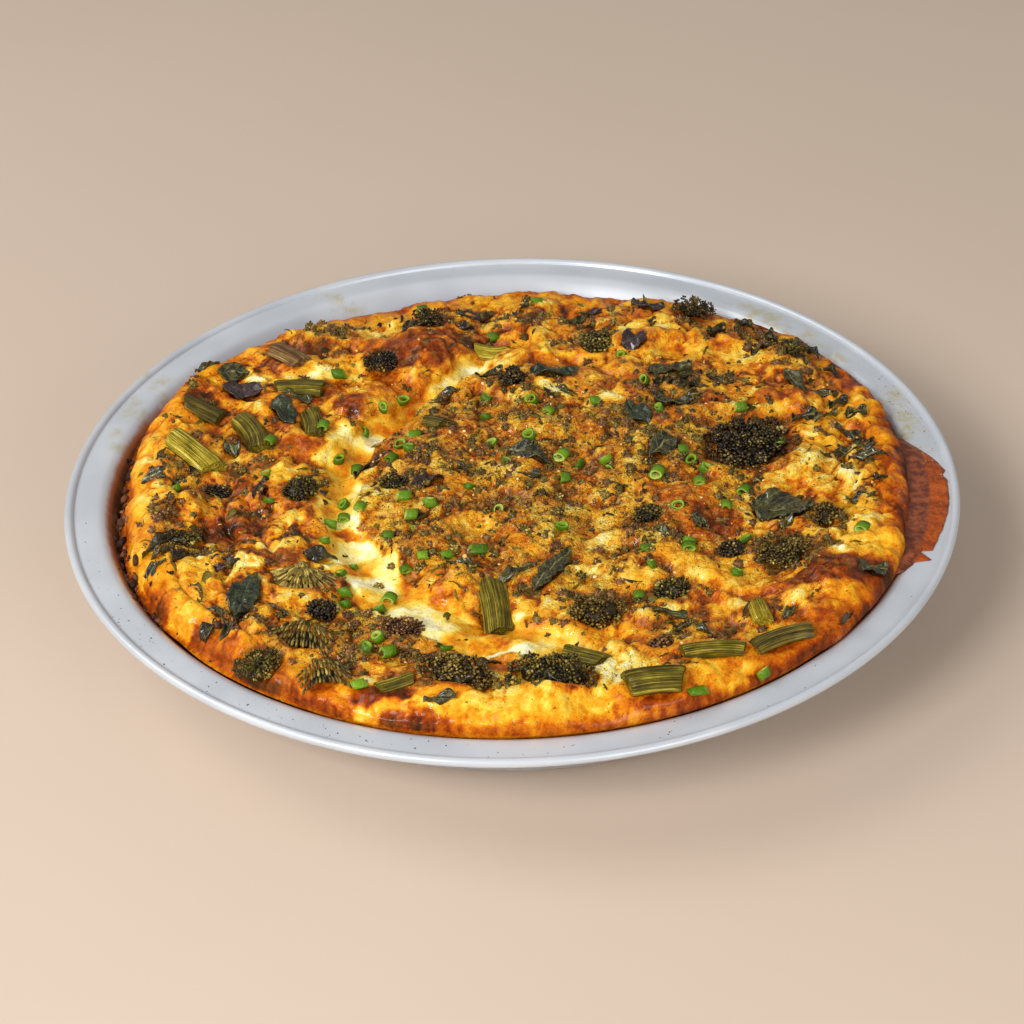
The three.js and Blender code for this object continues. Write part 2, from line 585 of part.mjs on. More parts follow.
function addPiece(group, name, geometry, finish) {
  const piece = new THREE.Mesh(geometry, new THREE.MeshStandardMaterial(finishes[finish]));
  piece.name = name;
  group.add(piece);
}

// The toppings rest a hair above the bare egg, so their undersides follow it
function makeToppings(core) {
  const raised = core.translate([0, 0, gap]);
  const kinds = [
    ["floret", floretSpecs, makeFloret],
    ["stalk", stalkSpecs, makeStalk],
    ["leaf", leafSpecs, makeLeaf],
  ];
  return kinds.flatMap(([finish, specs, make]) =>
    Object.entries(specs).map(([name, spec]) => ({
      name,
      finish,
      solid: largestPiece(make(spec).subtract(raised)),
    })),
  );
}

function makeQuiche() {
  const quiche = new THREE.Group();
  quiche.name = "crustless_quiche";
  const core = makeBakeCore();
  const toppings = makeToppings(core);
  const slices = makeChiveSlices(toppings.map((topping) => topping.solid));
  const custard = slices.reduce((bakeSoFar, slice) => bakeSoFar.add(slice), core.add(makeTongue()));
  addPiece(quiche, "tin", makeTinGeometry(), "tin");
  addPiece(quiche, "custard", geometryOfSolid(custard), "custard");
  toppings.forEach(({ name, finish, solid }) => {
    addPiece(quiche, name, geometryOfSolid(solid), finish);
  });
  return quiche;
}

export default makeQuiche();
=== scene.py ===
"""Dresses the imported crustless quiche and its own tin: meshes, finishes, light and camera.

Sizes in the classes are millimetres in the part's frame. A mesh turns to metres when it becomes a piece.
"""

import logging
import math
from dataclasses import dataclass, field
from enum import Enum
from typing import Any, Callable, Iterable, Sequence

import bmesh
import bpy
import numpy as np
from bmesh.types import BMesh, BMVert
from bpy.types import Material, Mesh, NodeSocket, Object
from mathutils import Matrix, Vector
from mathutils.bvhtree import BVHTree
from numpy.random import Generator, default_rng

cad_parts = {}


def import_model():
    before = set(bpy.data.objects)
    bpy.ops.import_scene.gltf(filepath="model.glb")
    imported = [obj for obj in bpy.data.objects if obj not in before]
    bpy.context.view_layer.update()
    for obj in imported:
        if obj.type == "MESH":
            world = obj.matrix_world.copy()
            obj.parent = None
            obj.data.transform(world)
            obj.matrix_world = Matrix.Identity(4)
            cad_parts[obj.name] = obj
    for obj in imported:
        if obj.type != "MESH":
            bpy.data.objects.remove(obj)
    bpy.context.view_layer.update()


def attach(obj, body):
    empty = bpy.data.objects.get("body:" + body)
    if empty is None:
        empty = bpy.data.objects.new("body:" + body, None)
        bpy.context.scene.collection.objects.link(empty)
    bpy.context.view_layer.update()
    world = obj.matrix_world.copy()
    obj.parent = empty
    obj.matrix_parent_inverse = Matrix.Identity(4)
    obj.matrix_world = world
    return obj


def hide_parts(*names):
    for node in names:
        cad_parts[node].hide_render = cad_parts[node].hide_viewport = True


Array = np.ndarray
Colour = tuple[float, float, float, float]
Stops = Sequence[tuple[float, Colour]]
Rows = tuple[tuple[float, ...], ...]
Pair = tuple[Array, Array]
MM = 0.001
TAU = 2 * math.pi
GOLDEN_ANGLE = 2.399963
FLANGE_TOP = 35.0
log = logging.getLogger("quiche")


def paint(red: int, green: int, blue: int) -> Colour:
    """Turns a screen colour, with levels from 0 to 255, into linear light."""
    shares = (level / 255 for level in (red, green, blue))
    light = (share / 12.92 if share <= 0.04045 else ((share + 0.055) / 1.055) ** 2.4 for share in shares)
    return (*light, 1.0)


def ease(value: Array, start: float, end: float) -> Array:
    """Rises smoothly from 0 at start to 1 at end, and falls where end lies below start."""
    share = np.clip((value - start) / (end - start), 0, 1)
    return share * share * (3 - 2 * share)


def blend(first: Array, second: Array, share: Array) -> Array:
    """Mixes two values by a share from 0 to 1."""
    return first + (second - first) * share


def turned(x: Array, y: Array, degrees: float = 0) -> Pair:
    """Distances along and across a direction in the plane."""
    cosine, sine = math.cos(math.radians(degrees)), math.sin(math.radians(degrees))
    return x * cosine + y * sine, y * cosine - x * sine


def from_oval(x: Array, y: Array, oval: Sequence[float]) -> Array:
    """How far points lie from an oval (middle, half length, half width, any turn), 1 on its outline."""
    along, across = turned(x - oval[0], y - oval[1], *oval[4:])
    return np.hypot(along / oval[2], across / oval[3])


def polar(radius: Array, angle: Array) -> Pair:
    """Places of the plane at radii and angles."""
    return radius * np.cos(angle), radius * np.sin(angle)


def on_ball(level: Array, angle: Array) -> Array:
    """Points of the unit ball at heights and angles."""
    return np.stack([*polar(np.sqrt(1 - level**2), angle), level], -1)


def unit(vectors: Array) -> Array:
    """Scales vectors to unit length."""
    return vectors / np.linalg.norm(vectors, axis=-1, keepdims=True)


def spiral(count: int, start: float) -> Pair:
    """Spreads points evenly along a spiral: how far along each lies, as a share, and its angle."""
    order = np.arange(count) + 0.5
    return order / count, order * GOLDEN_ANGLE + start


def inner_wall(height: Array | float) -> Array | float:
    """Radius of the tin's inner wall at a height, from its foot at 3.4 to its shoulder at 31.6."""
    return 107.9 + 21.8 * (height - 3.4) / 28.2


@dataclass(frozen=True)
class Grain:
    """Seeded unevenness: the same seed gives the same lumps on every run."""

    seed: int

    def share(self, cells: Array, channel: int = 0) -> Array:
        """One random share from 0 to 1 for each whole-number cell."""
        primes = np.array([73856093, 19349663, 83492791], np.int64)[: cells.shape[-1]]
        mixed = (cells.astype(np.int64) * primes).sum(-1) + self.seed * 9176 + channel * 6151
        mixed = mixed.astype(np.uint64) & np.uint64(0xFFFFFFFF)
        for shift, factor in ((15, 2246822519), (13, 3266489917)):
            mixed = ((mixed ^ (mixed >> np.uint64(shift))) * np.uint64(factor)) & np.uint64(0xFFFFFFFF)
        return ((mixed ^ (mixed >> np.uint64(16))) & np.uint64(0xFFFFFF)) / float(0xFFFFFF)

    def soft(self, places: Array, size: float) -> Array:
        """Soft noise from -1 to 1, with features of one size."""
        scaled = places / size
        base = np.floor(scaled)
        share = scaled - base
        share = share * share * (3 - 2 * share)
        total = np.zeros(len(places))
        for corner in np.ndindex(*(2,) * places.shape[-1]):
            weight = np.prod(np.where(corner, share, 1 - share), axis=-1)
            total += weight * self.share(base + np.array(corner))
        return 2 * total - 1

    def layered(self, places: Array, size: float, layers: int = 3) -> Array:
        """Soft noise of several sizes, each half of the one before."""
        total = np.zeros(len(places))
        for layer in range(layers):
            total += self.soft(places + 37.1 * layer, size / 2**layer) / 2**layer
        return total / (2 - 0.5 ** (layers - 1))

    def lumps(self, places: Array, size: float) -> tuple[Array, Array, Array]:
        """Splits the plane into irregular lumps.

        Args:
            places: points in the plane.
            size: the usual width of a lump.

        Returns:
            The distance to the lump's middle, the gap to the next lump and the lump's own random share.
        """
        scaled = places / size
        base = np.floor(scaled)
        near = np.full(len(places), 9.0)
        second = near.copy()
        own = np.zeros(len(places))
        for step in np.ndindex(3, 3):
            cell = base + np.array(step) - 1
            middle = cell + np.stack([self.share(cell, 1), self.share(cell, 2)], -1)
            distance = np.linalg.norm(scaled - middle, axis=-1)
            closer = distance < near
            second = np.where(closer, near, np.minimum(second, distance))
            own = np.where(closer, self.share(cell, 3), own)
            near = np.where(closer, distance, near)
        return near, second - near, own


class NodeBench:
    """Builds one procedural material in short steps."""

    def __init__(self, name: str, roughness: float) -> None:
        """Starts a material whose shader has one roughness."""
        self.material = bpy.data.materials.new(name)
        self.material.use_nodes = True
        self.tree = self.material.node_tree
        self.shader = self.tree.nodes["Principled BSDF"]
        self.shader.inputs["Roughness"].default_value = roughness
        self.places = self.node("ShaderNodeTexCoord").outputs["Object"]

    def node(self, kind: str, inputs: dict[Any, Any] | None = None, **settings: Any) -> bpy.types.Node:
        """Adds a node, sets it and feeds its inputs with values or sockets."""
        made = self.tree.nodes.new(kind)
        for key, value in settings.items():
            setattr(made, key, value)
        for key, value in (inputs or {}).items():
            self.feed(made.inputs[key], value)
        return made

    def feed(self, socket: NodeSocket, value: Any) -> None:
        """Links a socket to another, or sets its value."""
        if isinstance(value, NodeSocket):
            self.tree.links.new(value, socket)
        else:
            socket.default_value = value

    def set(self, **inputs: Any) -> None:
        """Feeds the shader's sockets, named with underscores for spaces."""
        for key, value in inputs.items():
            self.feed(self.shader.inputs[key.replace("_", " ")], value)

    def marks(self, name: str) -> tuple[NodeSocket, ...]:
        """The three channels and the alpha of a colour attribute."""
        read = self.node("ShaderNodeAttribute", attribute_name=name)
        split = self.node("ShaderNodeSeparateColor", {"Color": read.outputs["Color"]})
        return (*split.outputs[:3], read.outputs["Alpha"])

    def vector(self, name: str) -> NodeSocket:
        """A vector attribute."""
        return self.node("ShaderNodeAttribute", attribute_name=name).outputs["Vector"]

    def axes(self, vector: Any) -> Sequence[NodeSocket]:
        """The three parts of a vector."""
        return self.node("ShaderNodeSeparateXYZ", {0: vector}).outputs

    def stretched(self, name: str, scale: Sequence[float]) -> NodeSocket:
        """A vector attribute in millimetres, scaled along each of its directions."""
        return self.node("ShaderNodeMapping", {"Vector": self.vector(name), "Scale": scale}).outputs[0]

    def noise(self, size: float, detail: float = 2, places: Any = None, rough: float = 0.55) -> Any:
        """Noise with features of a size in millimetres, round a mean of a half."""
        scale = 1 / size if places else 1 / (size * MM)
        inputs = {"Vector": places or self.places, "Scale": scale, "Detail": detail, "Roughness": rough}
        return self.node("ShaderNodeTexNoise", inputs).outputs["Fac"]

    def sum(self, kind: str, first: Any, second: Any = 0) -> Any:
        """One step of arithmetic."""
        return self.node("ShaderNodeMath", {0: first, 1: second}, operation=kind).outputs[0]

    def times(self, first: Any, second: Any) -> Any:
        """The product of two values."""
        return self.sum("MULTIPLY", first, second)

    def plus(self, first: Any, second: Any) -> Any:
        """The sum of two values."""
        return self.sum("ADD", first, second)

    def swing(self, share: Any, reach: Any) -> Any:
        """Lets a share from 0 to 1 swing round zero, over a whole reach."""
        return self.times(self.sum("SUBTRACT", share, 0.5), reach)

    def span(self, value: Any, low: float, high: float, start: float = 0, end: float = 1) -> Any:
        """Stretches low to high over start to end, with smooth ends."""
        inputs = {0: value, 1: low, 2: high, 3: start, 4: end}
        return self.node("ShaderNodeMapRange", inputs, interpolation_type="SMOOTHSTEP").outputs[0]

    def ramp(self, share: Any, stops: Stops) -> Any:
        """Colours by a share, through a row of stops."""
        made = self.node("ShaderNodeValToRGB", {0: share})
        elements = made.color_ramp.elements
        while len(elements) < len(stops):
            elements.new(0.5)
        for element, (place, colour) in zip(elements, stops):
            element.position = place
            element.color = colour
        return made.outputs["Color"]

    def mix(self, share: Any, first: Any, second: Any) -> Any:
        """Mixes two colours."""
        return self.node("ShaderNodeMix", {0: share, 6: first, 7: second}, data_type="RGBA").outputs[2]

    def bump(self, *layers: tuple[Any, float]) -> None:
        """Gives the surface fine relief from heights, each with its depth in millimetres."""
        below = None
        for height, depth in layers:
            inputs = {"Height": height, "Distance": depth * MM, "Strength": 1.0}
            if below:
                inputs["Normal"] = below
            below = self.node("ShaderNodeBump", inputs).outputs[0]
        self.feed(self.shader.inputs["Normal"], below)


EGG_STOPS: Stops = (
    (0.0, paint(255, 250, 210)),
    (0.12, paint(253, 234, 140)),
    (0.22, paint(249, 210, 84)),
    (0.33, paint(241, 178, 38)),
    (0.45, paint(224, 140, 14)),
    (0.57, paint(194, 96, 2)),
    (0.7, paint(148, 56, 0)),
    (0.84, paint(88, 30, 2)),
    (1.0, paint(38, 16, 4)),
)


@dataclass(frozen=True)
class EggFinish:
    """Baked egg: cream to brown by its tone, flecked with herbs, and glossy where it stayed wet."""

    herb_dark: Colour = paint(70, 50, 20)
    herb_olive: Colour = paint(116, 90, 34)
    crumb_pale: Colour = paint(230, 182, 84)
    # Colour of the thin crease lines: partly browning, partly painted shade in the creases
    crease: Colour = paint(88, 46, 16)
    juice: Colour = paint(150, 116, 46)
    tiny: float = 0.7
    fine: float = 1.7
    broad: float = 5.0

    def make(self) -> Material:
        """Builds the material from the attribute that holds tone, herbs, wetness and crumb."""
        bench = NodeBench("baked_egg", 0.45)
        tone, herb, wet, crumb = bench.marks("bake")
        tiny = bench.noise(self.tiny, 3)
        fine = bench.noise(self.fine, 3)
        broad = bench.noise(self.broad, 3)
        spread = bench.plus(bench.times(crumb, 0.24), 0.2)
        mottle = bench.swing(fine, spread)
        mottle = bench.plus(mottle, bench.swing(broad, 0.45))
        mottle = bench.plus(mottle, bench.swing(tiny, spread))
        colour = bench.ramp(bench.plus(tone, mottle), EGG_STOPS)
        pale = bench.times(bench.span(bench.noise(2.2, 3), 0.5, 0.64), crumb)
        colour = bench.mix(bench.times(pale, 0.6), colour, self.crumb_pale)
        # Thin lines that the bump presses in take the crease colour: painted shade in the creases, partly
        # browning
        curve = bench.sum("ABSOLUTE", bench.swing(bench.noise(3.4, 2, rough=0.6), 1))
        curve = bench.times(bench.span(curve, 0.03, 0.004), bench.span(broad, 0.4, 0.54))
        curve = bench.times(curve, bench.times(crumb, 0.6))
        colour = bench.mix(curve, colour, self.crease)
        colour = bench.mix(bench.times(bench.times(herb, broad), 0.9), colour, self.juice)
        reach = bench.times(herb, 0.15)
        mask = bench.span(bench.plus(bench.noise(1.5, 3, rough=0.65), reach), 0.655, 0.7)
        green = bench.mix(bench.span(tiny, 0.42, 0.6), self.herb_dark, self.herb_olive)
        colour = bench.mix(bench.times(mask, 0.92), colour, green)
        bench.set(Base_Color=colour)
        dry = bench.sum("SUBTRACT", 0.62, bench.times(wet, 0.36))
        rough = bench.plus(dry, bench.swing(fine, 0.3))
        bench.set(Roughness=rough, Specular_IOR_Level=0.06)
        bench.set(Coat_Weight=bench.times(wet, 0.62), Coat_Roughness=0.05)
        coarseness = bench.plus(crumb, 0.3)
        bench.bump((bench.times(coarseness, fine), 1.6), (bench.times(coarseness, tiny), 0.5), (curve, -0.3))
        return bench.material


@dataclass(frozen=True)
class HeapFinish:
    """Small pieces, each with its own tone between two or more colours."""

    name: str
    stops: Stops
    roughness: float = 0.5
    coat: float = 0.0
    grain: float = 0.5
    depth: float = 0.12

    def make(self) -> Material:
        """Builds the material from the mark of each small piece."""
        bench = NodeBench(self.name, self.roughness)
        own, place, _, _ = bench.marks("mark")
        fine = bench.noise(self.grain, 2)
        share = bench.plus(own, bench.swing(fine, 0.5))
        # Each prototype's own value lightens it: painted highlight on the tops of crumbs and buds, and the
        # paler tips of ribs and cut faces of chive rings
        share = bench.plus(share, bench.times(place, 0.45))
        bench.set(Base_Color=bench.ramp(share, self.stops), Specular_IOR_Level=0.15)
        bench.set(Coat_Weight=self.coat, Coat_Roughness=0.25)
        bench.bump((fine, self.depth))
        return bench.material


@dataclass(frozen=True)
class StalkFinish:
    """Cut broccoli stalk with light and dark fibres along it."""

    name: str
    stops: Stops

    def make(self) -> Material:
        """Builds the material from the fibre attribute, which is in millimetres."""
        bench = NodeBench(self.name, 0.46)
        streaks = bench.noise(1.0, 3, bench.stretched("fibre", (0.035, 1.1, 1.1)), 0.6)
        threads = bench.noise(1.0, 2, bench.stretched("fibre", (0.04, 3.4, 3.4)), 0.6)
        patches = bench.noise(4.0, 2)
        lines = bench.span(threads, 0.42, 0.56)
        share = bench.plus(bench.swing(streaks, 1.3), 0.28)
        share = bench.plus(share, bench.times(lines, 0.42))
        share = bench.plus(share, bench.swing(patches, 0.7))
        bench.set(Base_Color=bench.ramp(share, self.stops), Specular_IOR_Level=0.2)
        bench.set(Coat_Weight=0.12, Coat_Roughness=0.2)
        bench.bump((lines, 0.3), (streaks, 0.6))
        return bench.material


@dataclass(frozen=True)
class LeafFinish:
    """Wilted baked leaf with a midrib and side veins."""

    name: str
    dark: Colour
    light: Colour
    vein: Colour

    def make(self) -> Material:
        """Builds the material from the blade attribute: millimetres along and across."""
        bench = NodeBench(self.name, 0.42)
        along, across, _ = bench.axes(bench.vector("blade"))
        away = bench.sum("ABSOLUTE", across)
        wobble = bench.times(bench.noise(3.0, 2), 3.4)
        sweep = bench.sum("SUBTRACT", along, bench.times(away, 0.9))
        comb = bench.sum("SINE", bench.plus(bench.times(sweep, 2.1), wobble))
        side = bench.times(bench.span(comb, 0.8, 1.0), 0.5)
        rib = bench.span(away, 0.42, 0.15)
        veins = bench.sum("MAXIMUM", side, rib)
        crinkle = bench.noise(1.4, 3)
        base = bench.mix(bench.span(bench.noise(2.6, 3), 0.36, 0.66), self.dark, self.light)
        bench.set(Base_Color=bench.mix(bench.times(veins, 0.72), base, self.vein))
        bench.set(Coat_Weight=0.65, Coat_Roughness=0.12, Specular_IOR_Level=0.2)
        bench.bump((veins, 0.25), (crinkle, 2.0))
        return bench.material


@dataclass(frozen=True)
class EnamelFinish:
    """Pale blue-grey coating of the tin, with baked-on brown and old grease."""

    coating: Colour = paint(198, 203, 210)
    shadow: Colour = paint(188, 194, 202)
    brown: Colour = paint(168, 102, 56)
    burnt: Colour = paint(72, 34, 16)
    grease: Colour = paint(176, 160, 96)

    def make(self) -> Material:
        """Builds the material from the soil attribute: brown and grease."""
        bench = NodeBench("coated_tin", 0.3)
        brown, grease, _, _ = bench.marks("soil")
        patchy = bench.noise(7.0, 3)
        fine = bench.noise(1.6, 3)
        colour = bench.mix(bench.span(bench.noise(26.0, 2), 0.35, 0.65), self.coating, self.shadow)
        smear = bench.times(grease, bench.span(patchy, 0.38, 0.66))
        smear = bench.times(smear, bench.span(fine, 0.3, 0.62, 0.4, 1.0))
        colour = bench.mix(smear, colour, self.grease)
        x, y, _ = bench.axes(bench.places)
        flat = bench.node("ShaderNodeCombineXYZ", {0: x, 1: y}).outputs[0]
        ring = bench.node("ShaderNodeVectorMath", {0: flat}, operation="NORMALIZE").outputs[0]
        streak = bench.noise(1 / 45, 3, ring)
        crust = bench.plus(brown, bench.swing(streak, 0.3))
        crust = bench.plus(crust, bench.swing(patchy, 0.6))
        crusted = bench.times(crust, bench.span(brown, 0.0, 0.15))
        colour = bench.mix(bench.span(crusted, 0.05, 0.6), colour, self.brown)
        colour = bench.mix(bench.span(crusted, 0.55, 1.2), colour, self.burnt)
        bench.set(Base_Color=colour, Metallic=0.12, Coat_Weight=0.35, Coat_Roughness=0.12)
        rough = bench.plus(0.27, bench.times(patchy, 0.1))
        bench.set(Roughness=bench.plus(rough, bench.times(brown, 0.25)))
        bench.bump((bench.noise(0.5, 2), 0.01), (bench.times(crust, brown), 0.2))
        return bench.material


@dataclass(frozen=True)
class OverflowFinish:
    """Thin egg that baked on to the rim: a purple-brown band and a brittle orange flake."""

    band: Colour = paint(150, 80, 46)
    band_dark: Colour = paint(98, 46, 32)
    flake: Colour = paint(190, 90, 24)
    flake_dark: Colour = paint(128, 50, 14)

    def make(self) -> Material:
        """Builds the material from the mark: how far out, and the creases."""
        bench = NodeBench("overflow", 0.4)
        outward, crease, _, _ = bench.marks("mark")
        fine = bench.noise(1.2, 3)
        inner = bench.mix(bench.span(bench.noise(3.0, 3), 0.35, 0.65), self.band, self.band_dark)
        outer = bench.mix(bench.span(bench.plus(crease, fine), 0.6, 1.3), self.flake, self.flake_dark)
        edge = bench.plus(outward, bench.swing(fine, 0.12))
        bench.set(Base_Color=bench.mix(bench.span(edge, 0.5, 0.58), inner, outer))
        bench.set(Specular_IOR_Level=0.25)
        bench.bump((bench.noise(2.2, 3), 0.5), (fine, 0.25))
        return bench.material


def stops_between(*colours: tuple[int, int, int]) -> Stops:
    """Screen colours spread evenly from 0 to 1."""
    return tuple((i / (len(colours) - 1), paint(*colour)) for i, colour in enumerate(colours))


class BudKind(Enum):
    """Colours of broccoli buds, dark to light: the dark end serves as painted shade at the curds' base, the
    light end as painted highlight at their tips.
    """

    BLACK = stops_between((17, 11, 4), (48, 36, 12), (88, 70, 26), (176, 154, 88))
    GREEN = stops_between((32, 26, 8), (70, 57, 18), (112, 97, 30), (186, 164, 78))
    OLIVE = stops_between((42, 31, 10), (87, 68, 22), (132, 110, 38), (204, 176, 92))
    BROWN = stops_between((50, 30, 19), (98, 64, 33), (140, 98, 48), (198, 154, 88))


class StalkKind(Enum):
    """Colours of stalks, from the grooves to the ribs."""

    OLIVE = stops_between((44, 34, 6), (85, 73, 10), (124, 109, 19), (188, 169, 60))
    PALE = stops_between((86, 68, 8), (154, 132, 18), (200, 176, 42), (236, 218, 110))
    DARK = stops_between((42, 32, 10), (78, 66, 18), (112, 96, 28), (166, 144, 60))
    BROWN = stops_between((64, 36, 22), (108, 74, 40), (140, 104, 52), (190, 158, 92))


class LeafKind(Enum):
    """Colours of leaves: dark, light and vein."""

    DARK = ((16, 19, 8), (80, 78, 34), (150, 140, 82))
    TEAL = ((20, 28, 14), (58, 68, 36), (80, 88, 50))
    PURPLE = ((34, 22, 24), (72, 50, 50), (106, 80, 66))
    OLIVE = ((44, 40, 18), (82, 76, 32), (122, 112, 56))
    BLACK = ((26, 22, 8), (58, 50, 18), (96, 84, 36))


HEAPS: tuple[HeapFinish, ...] = (
    HeapFinish("chive", stops_between((42, 68, 6), (78, 114, 10), (114, 152, 24), (172, 192, 88)),
               0.4, 0.2, 0.7, 0.3),
    HeapFinish("egg_crumb", stops_between((126, 62, 18), (196, 122, 36), (232, 176, 84), (246, 222, 160)),
               0.6, 0.0, 0.8, 0.2),
    HeapFinish("herb_crumb", stops_between((40, 27, 13), (78, 50, 26), (100, 80, 30), (154, 120, 52)),
               0.5, 0.05),
    HeapFinish("green_shred", stops_between((30, 22, 8), (66, 54, 16), (106, 94, 28), (160, 134, 50)),
               0.42, 0.05),
    HeapFinish("burnt_crumb", stops_between((22, 14, 11), (56, 32, 22), (100, 58, 36), (150, 98, 58)), 0.55),
    HeapFinish("baked_speck", stops_between((66, 58, 50), (96, 86, 74), (120, 108, 84), (140, 116, 60)), 0.6),
    HeapFinish("grease_crumb", stops_between((120, 92, 36), (158, 128, 58), (188, 160, 88), (206, 184, 120)),
               0.5),
)


class Finishes:
    """Every material of the scene, each made once."""

    def __init__(self) -> None:
        """Makes the materials."""
        self.egg = EggFinish().make()
        self.enamel = EnamelFinish().make()
        self.overflow = OverflowFinish().make()
        self.kinds: dict[Enum, Material] = {}
        for bud in BudKind:
            self.kinds[bud] = HeapFinish(f"bud_{bud.name.lower()}", bud.value, 0.36, 0.4).make()
        for stalk in StalkKind:
            self.kinds[stalk] = StalkFinish(f"stalk_{stalk.name.lower()}", stalk.value).make()
        for leaf in LeafKind:
            colours = [paint(*colour) for colour in leaf.value]
            self.kinds[leaf] = LeafFinish(f"leaf_{leaf.name.lower()}", *colours).make()
        self.heaps = {heap.name: heap.make() for heap in HEAPS}


def add_marks(mesh: Mesh, name: str, values: Array) -> None:
    """Stores two or four values for each point as a colour attribute.

    Args:
        mesh: the mesh that gets them.
        name: the attribute's name.
        values: one row for each point.
    """
    full = np.tile(np.array([0, 0, 0, 1], np.float32), (len(values), 1))
    full[:, : values.shape[1]] = values
    mesh.attributes.new(name, "FLOAT_COLOR", "POINT").data.foreach_set("color", full.ravel())


def add_vectors(mesh: Mesh, name: str, values: Array) -> None:
    """Stores one vector for each point."""
    data = mesh.attributes.new(name, "FLOAT_VECTOR", "POINT").data
    data.foreach_set("vector", np.asarray(values, np.float32).ravel())


def places_of(shape: BMesh) -> Array:
    """Reads a bmesh's points."""
    return np.array([vertex.co[:] for vertex in shape.verts], float)


def move_points(shape: BMesh, places: Array) -> None:
    """Writes a bmesh's points."""
    for vertex, place in zip(shape.verts, places.tolist()):
        vertex.co = place


def grid(along: int, across: int, size: float) -> BMesh:
    """A flat square grid of cells, whose corners lie a size from its middle."""
    shape = bmesh.new()
    bmesh.ops.create_grid(shape, x_segments=along, y_segments=across, size=size)
    return shape


def points_among(items: Iterable[Any]) -> list[BMVert]:
    """The points among what a bmesh operator made."""
    return [item for item in items if isinstance(item, BMVert)]


def mesh_from(name: str, shape: BMesh) -> Mesh:
    """Turns a bmesh into a mesh, and frees it."""
    mesh = bpy.data.meshes.new(name)
    shape.to_mesh(mesh)
    shape.free()
    return mesh


def closed_mesh(name: str, shape: BMesh) -> tuple[Mesh, Array]:
    """Turns a closed bmesh's faces outward, and gives its mesh and its points."""
    bmesh.ops.recalc_face_normals(shape, faces=shape.faces[:])
    places = places_of(shape)
    return mesh_from(name, shape), places


def show(name: str, data: bpy.types.ID) -> Object:
    """Puts a mesh, a light or a camera into the scene."""
    made = bpy.data.objects.new(name, data)
    bpy.context.scene.collection.objects.link(made)
    return made


@dataclass(frozen=True)
class Piece:
    """What a finished mesh becomes in the scene."""

    name: str
    slot: str
    replaces: tuple[str, ...] = ()
    sharp: float | None = None

    def place(self, mesh: Mesh, finish: Material) -> Object:
        """Scales the mesh to metres, and lets it ride on the part.

        Args:
            mesh: a mesh in millimetres.
            finish: its material.

        Returns:
            The object, at the origin.
        """
        mesh.transform(Matrix.Scale(MM, 4))
        mesh.polygons.foreach_set("use_smooth", np.ones(len(mesh.polygons), bool))
        if self.sharp:
            mesh.set_sharp_from_angle(angle=math.radians(self.sharp))
        mesh.materials.append(finish)
        mesh.update()
        made = show(self.name, mesh)
        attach(made, "root")
        if self.replaces:
            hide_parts(*self.replaces)
        log.info("%s: %d faces", self.name, len(mesh.polygons))
        return made


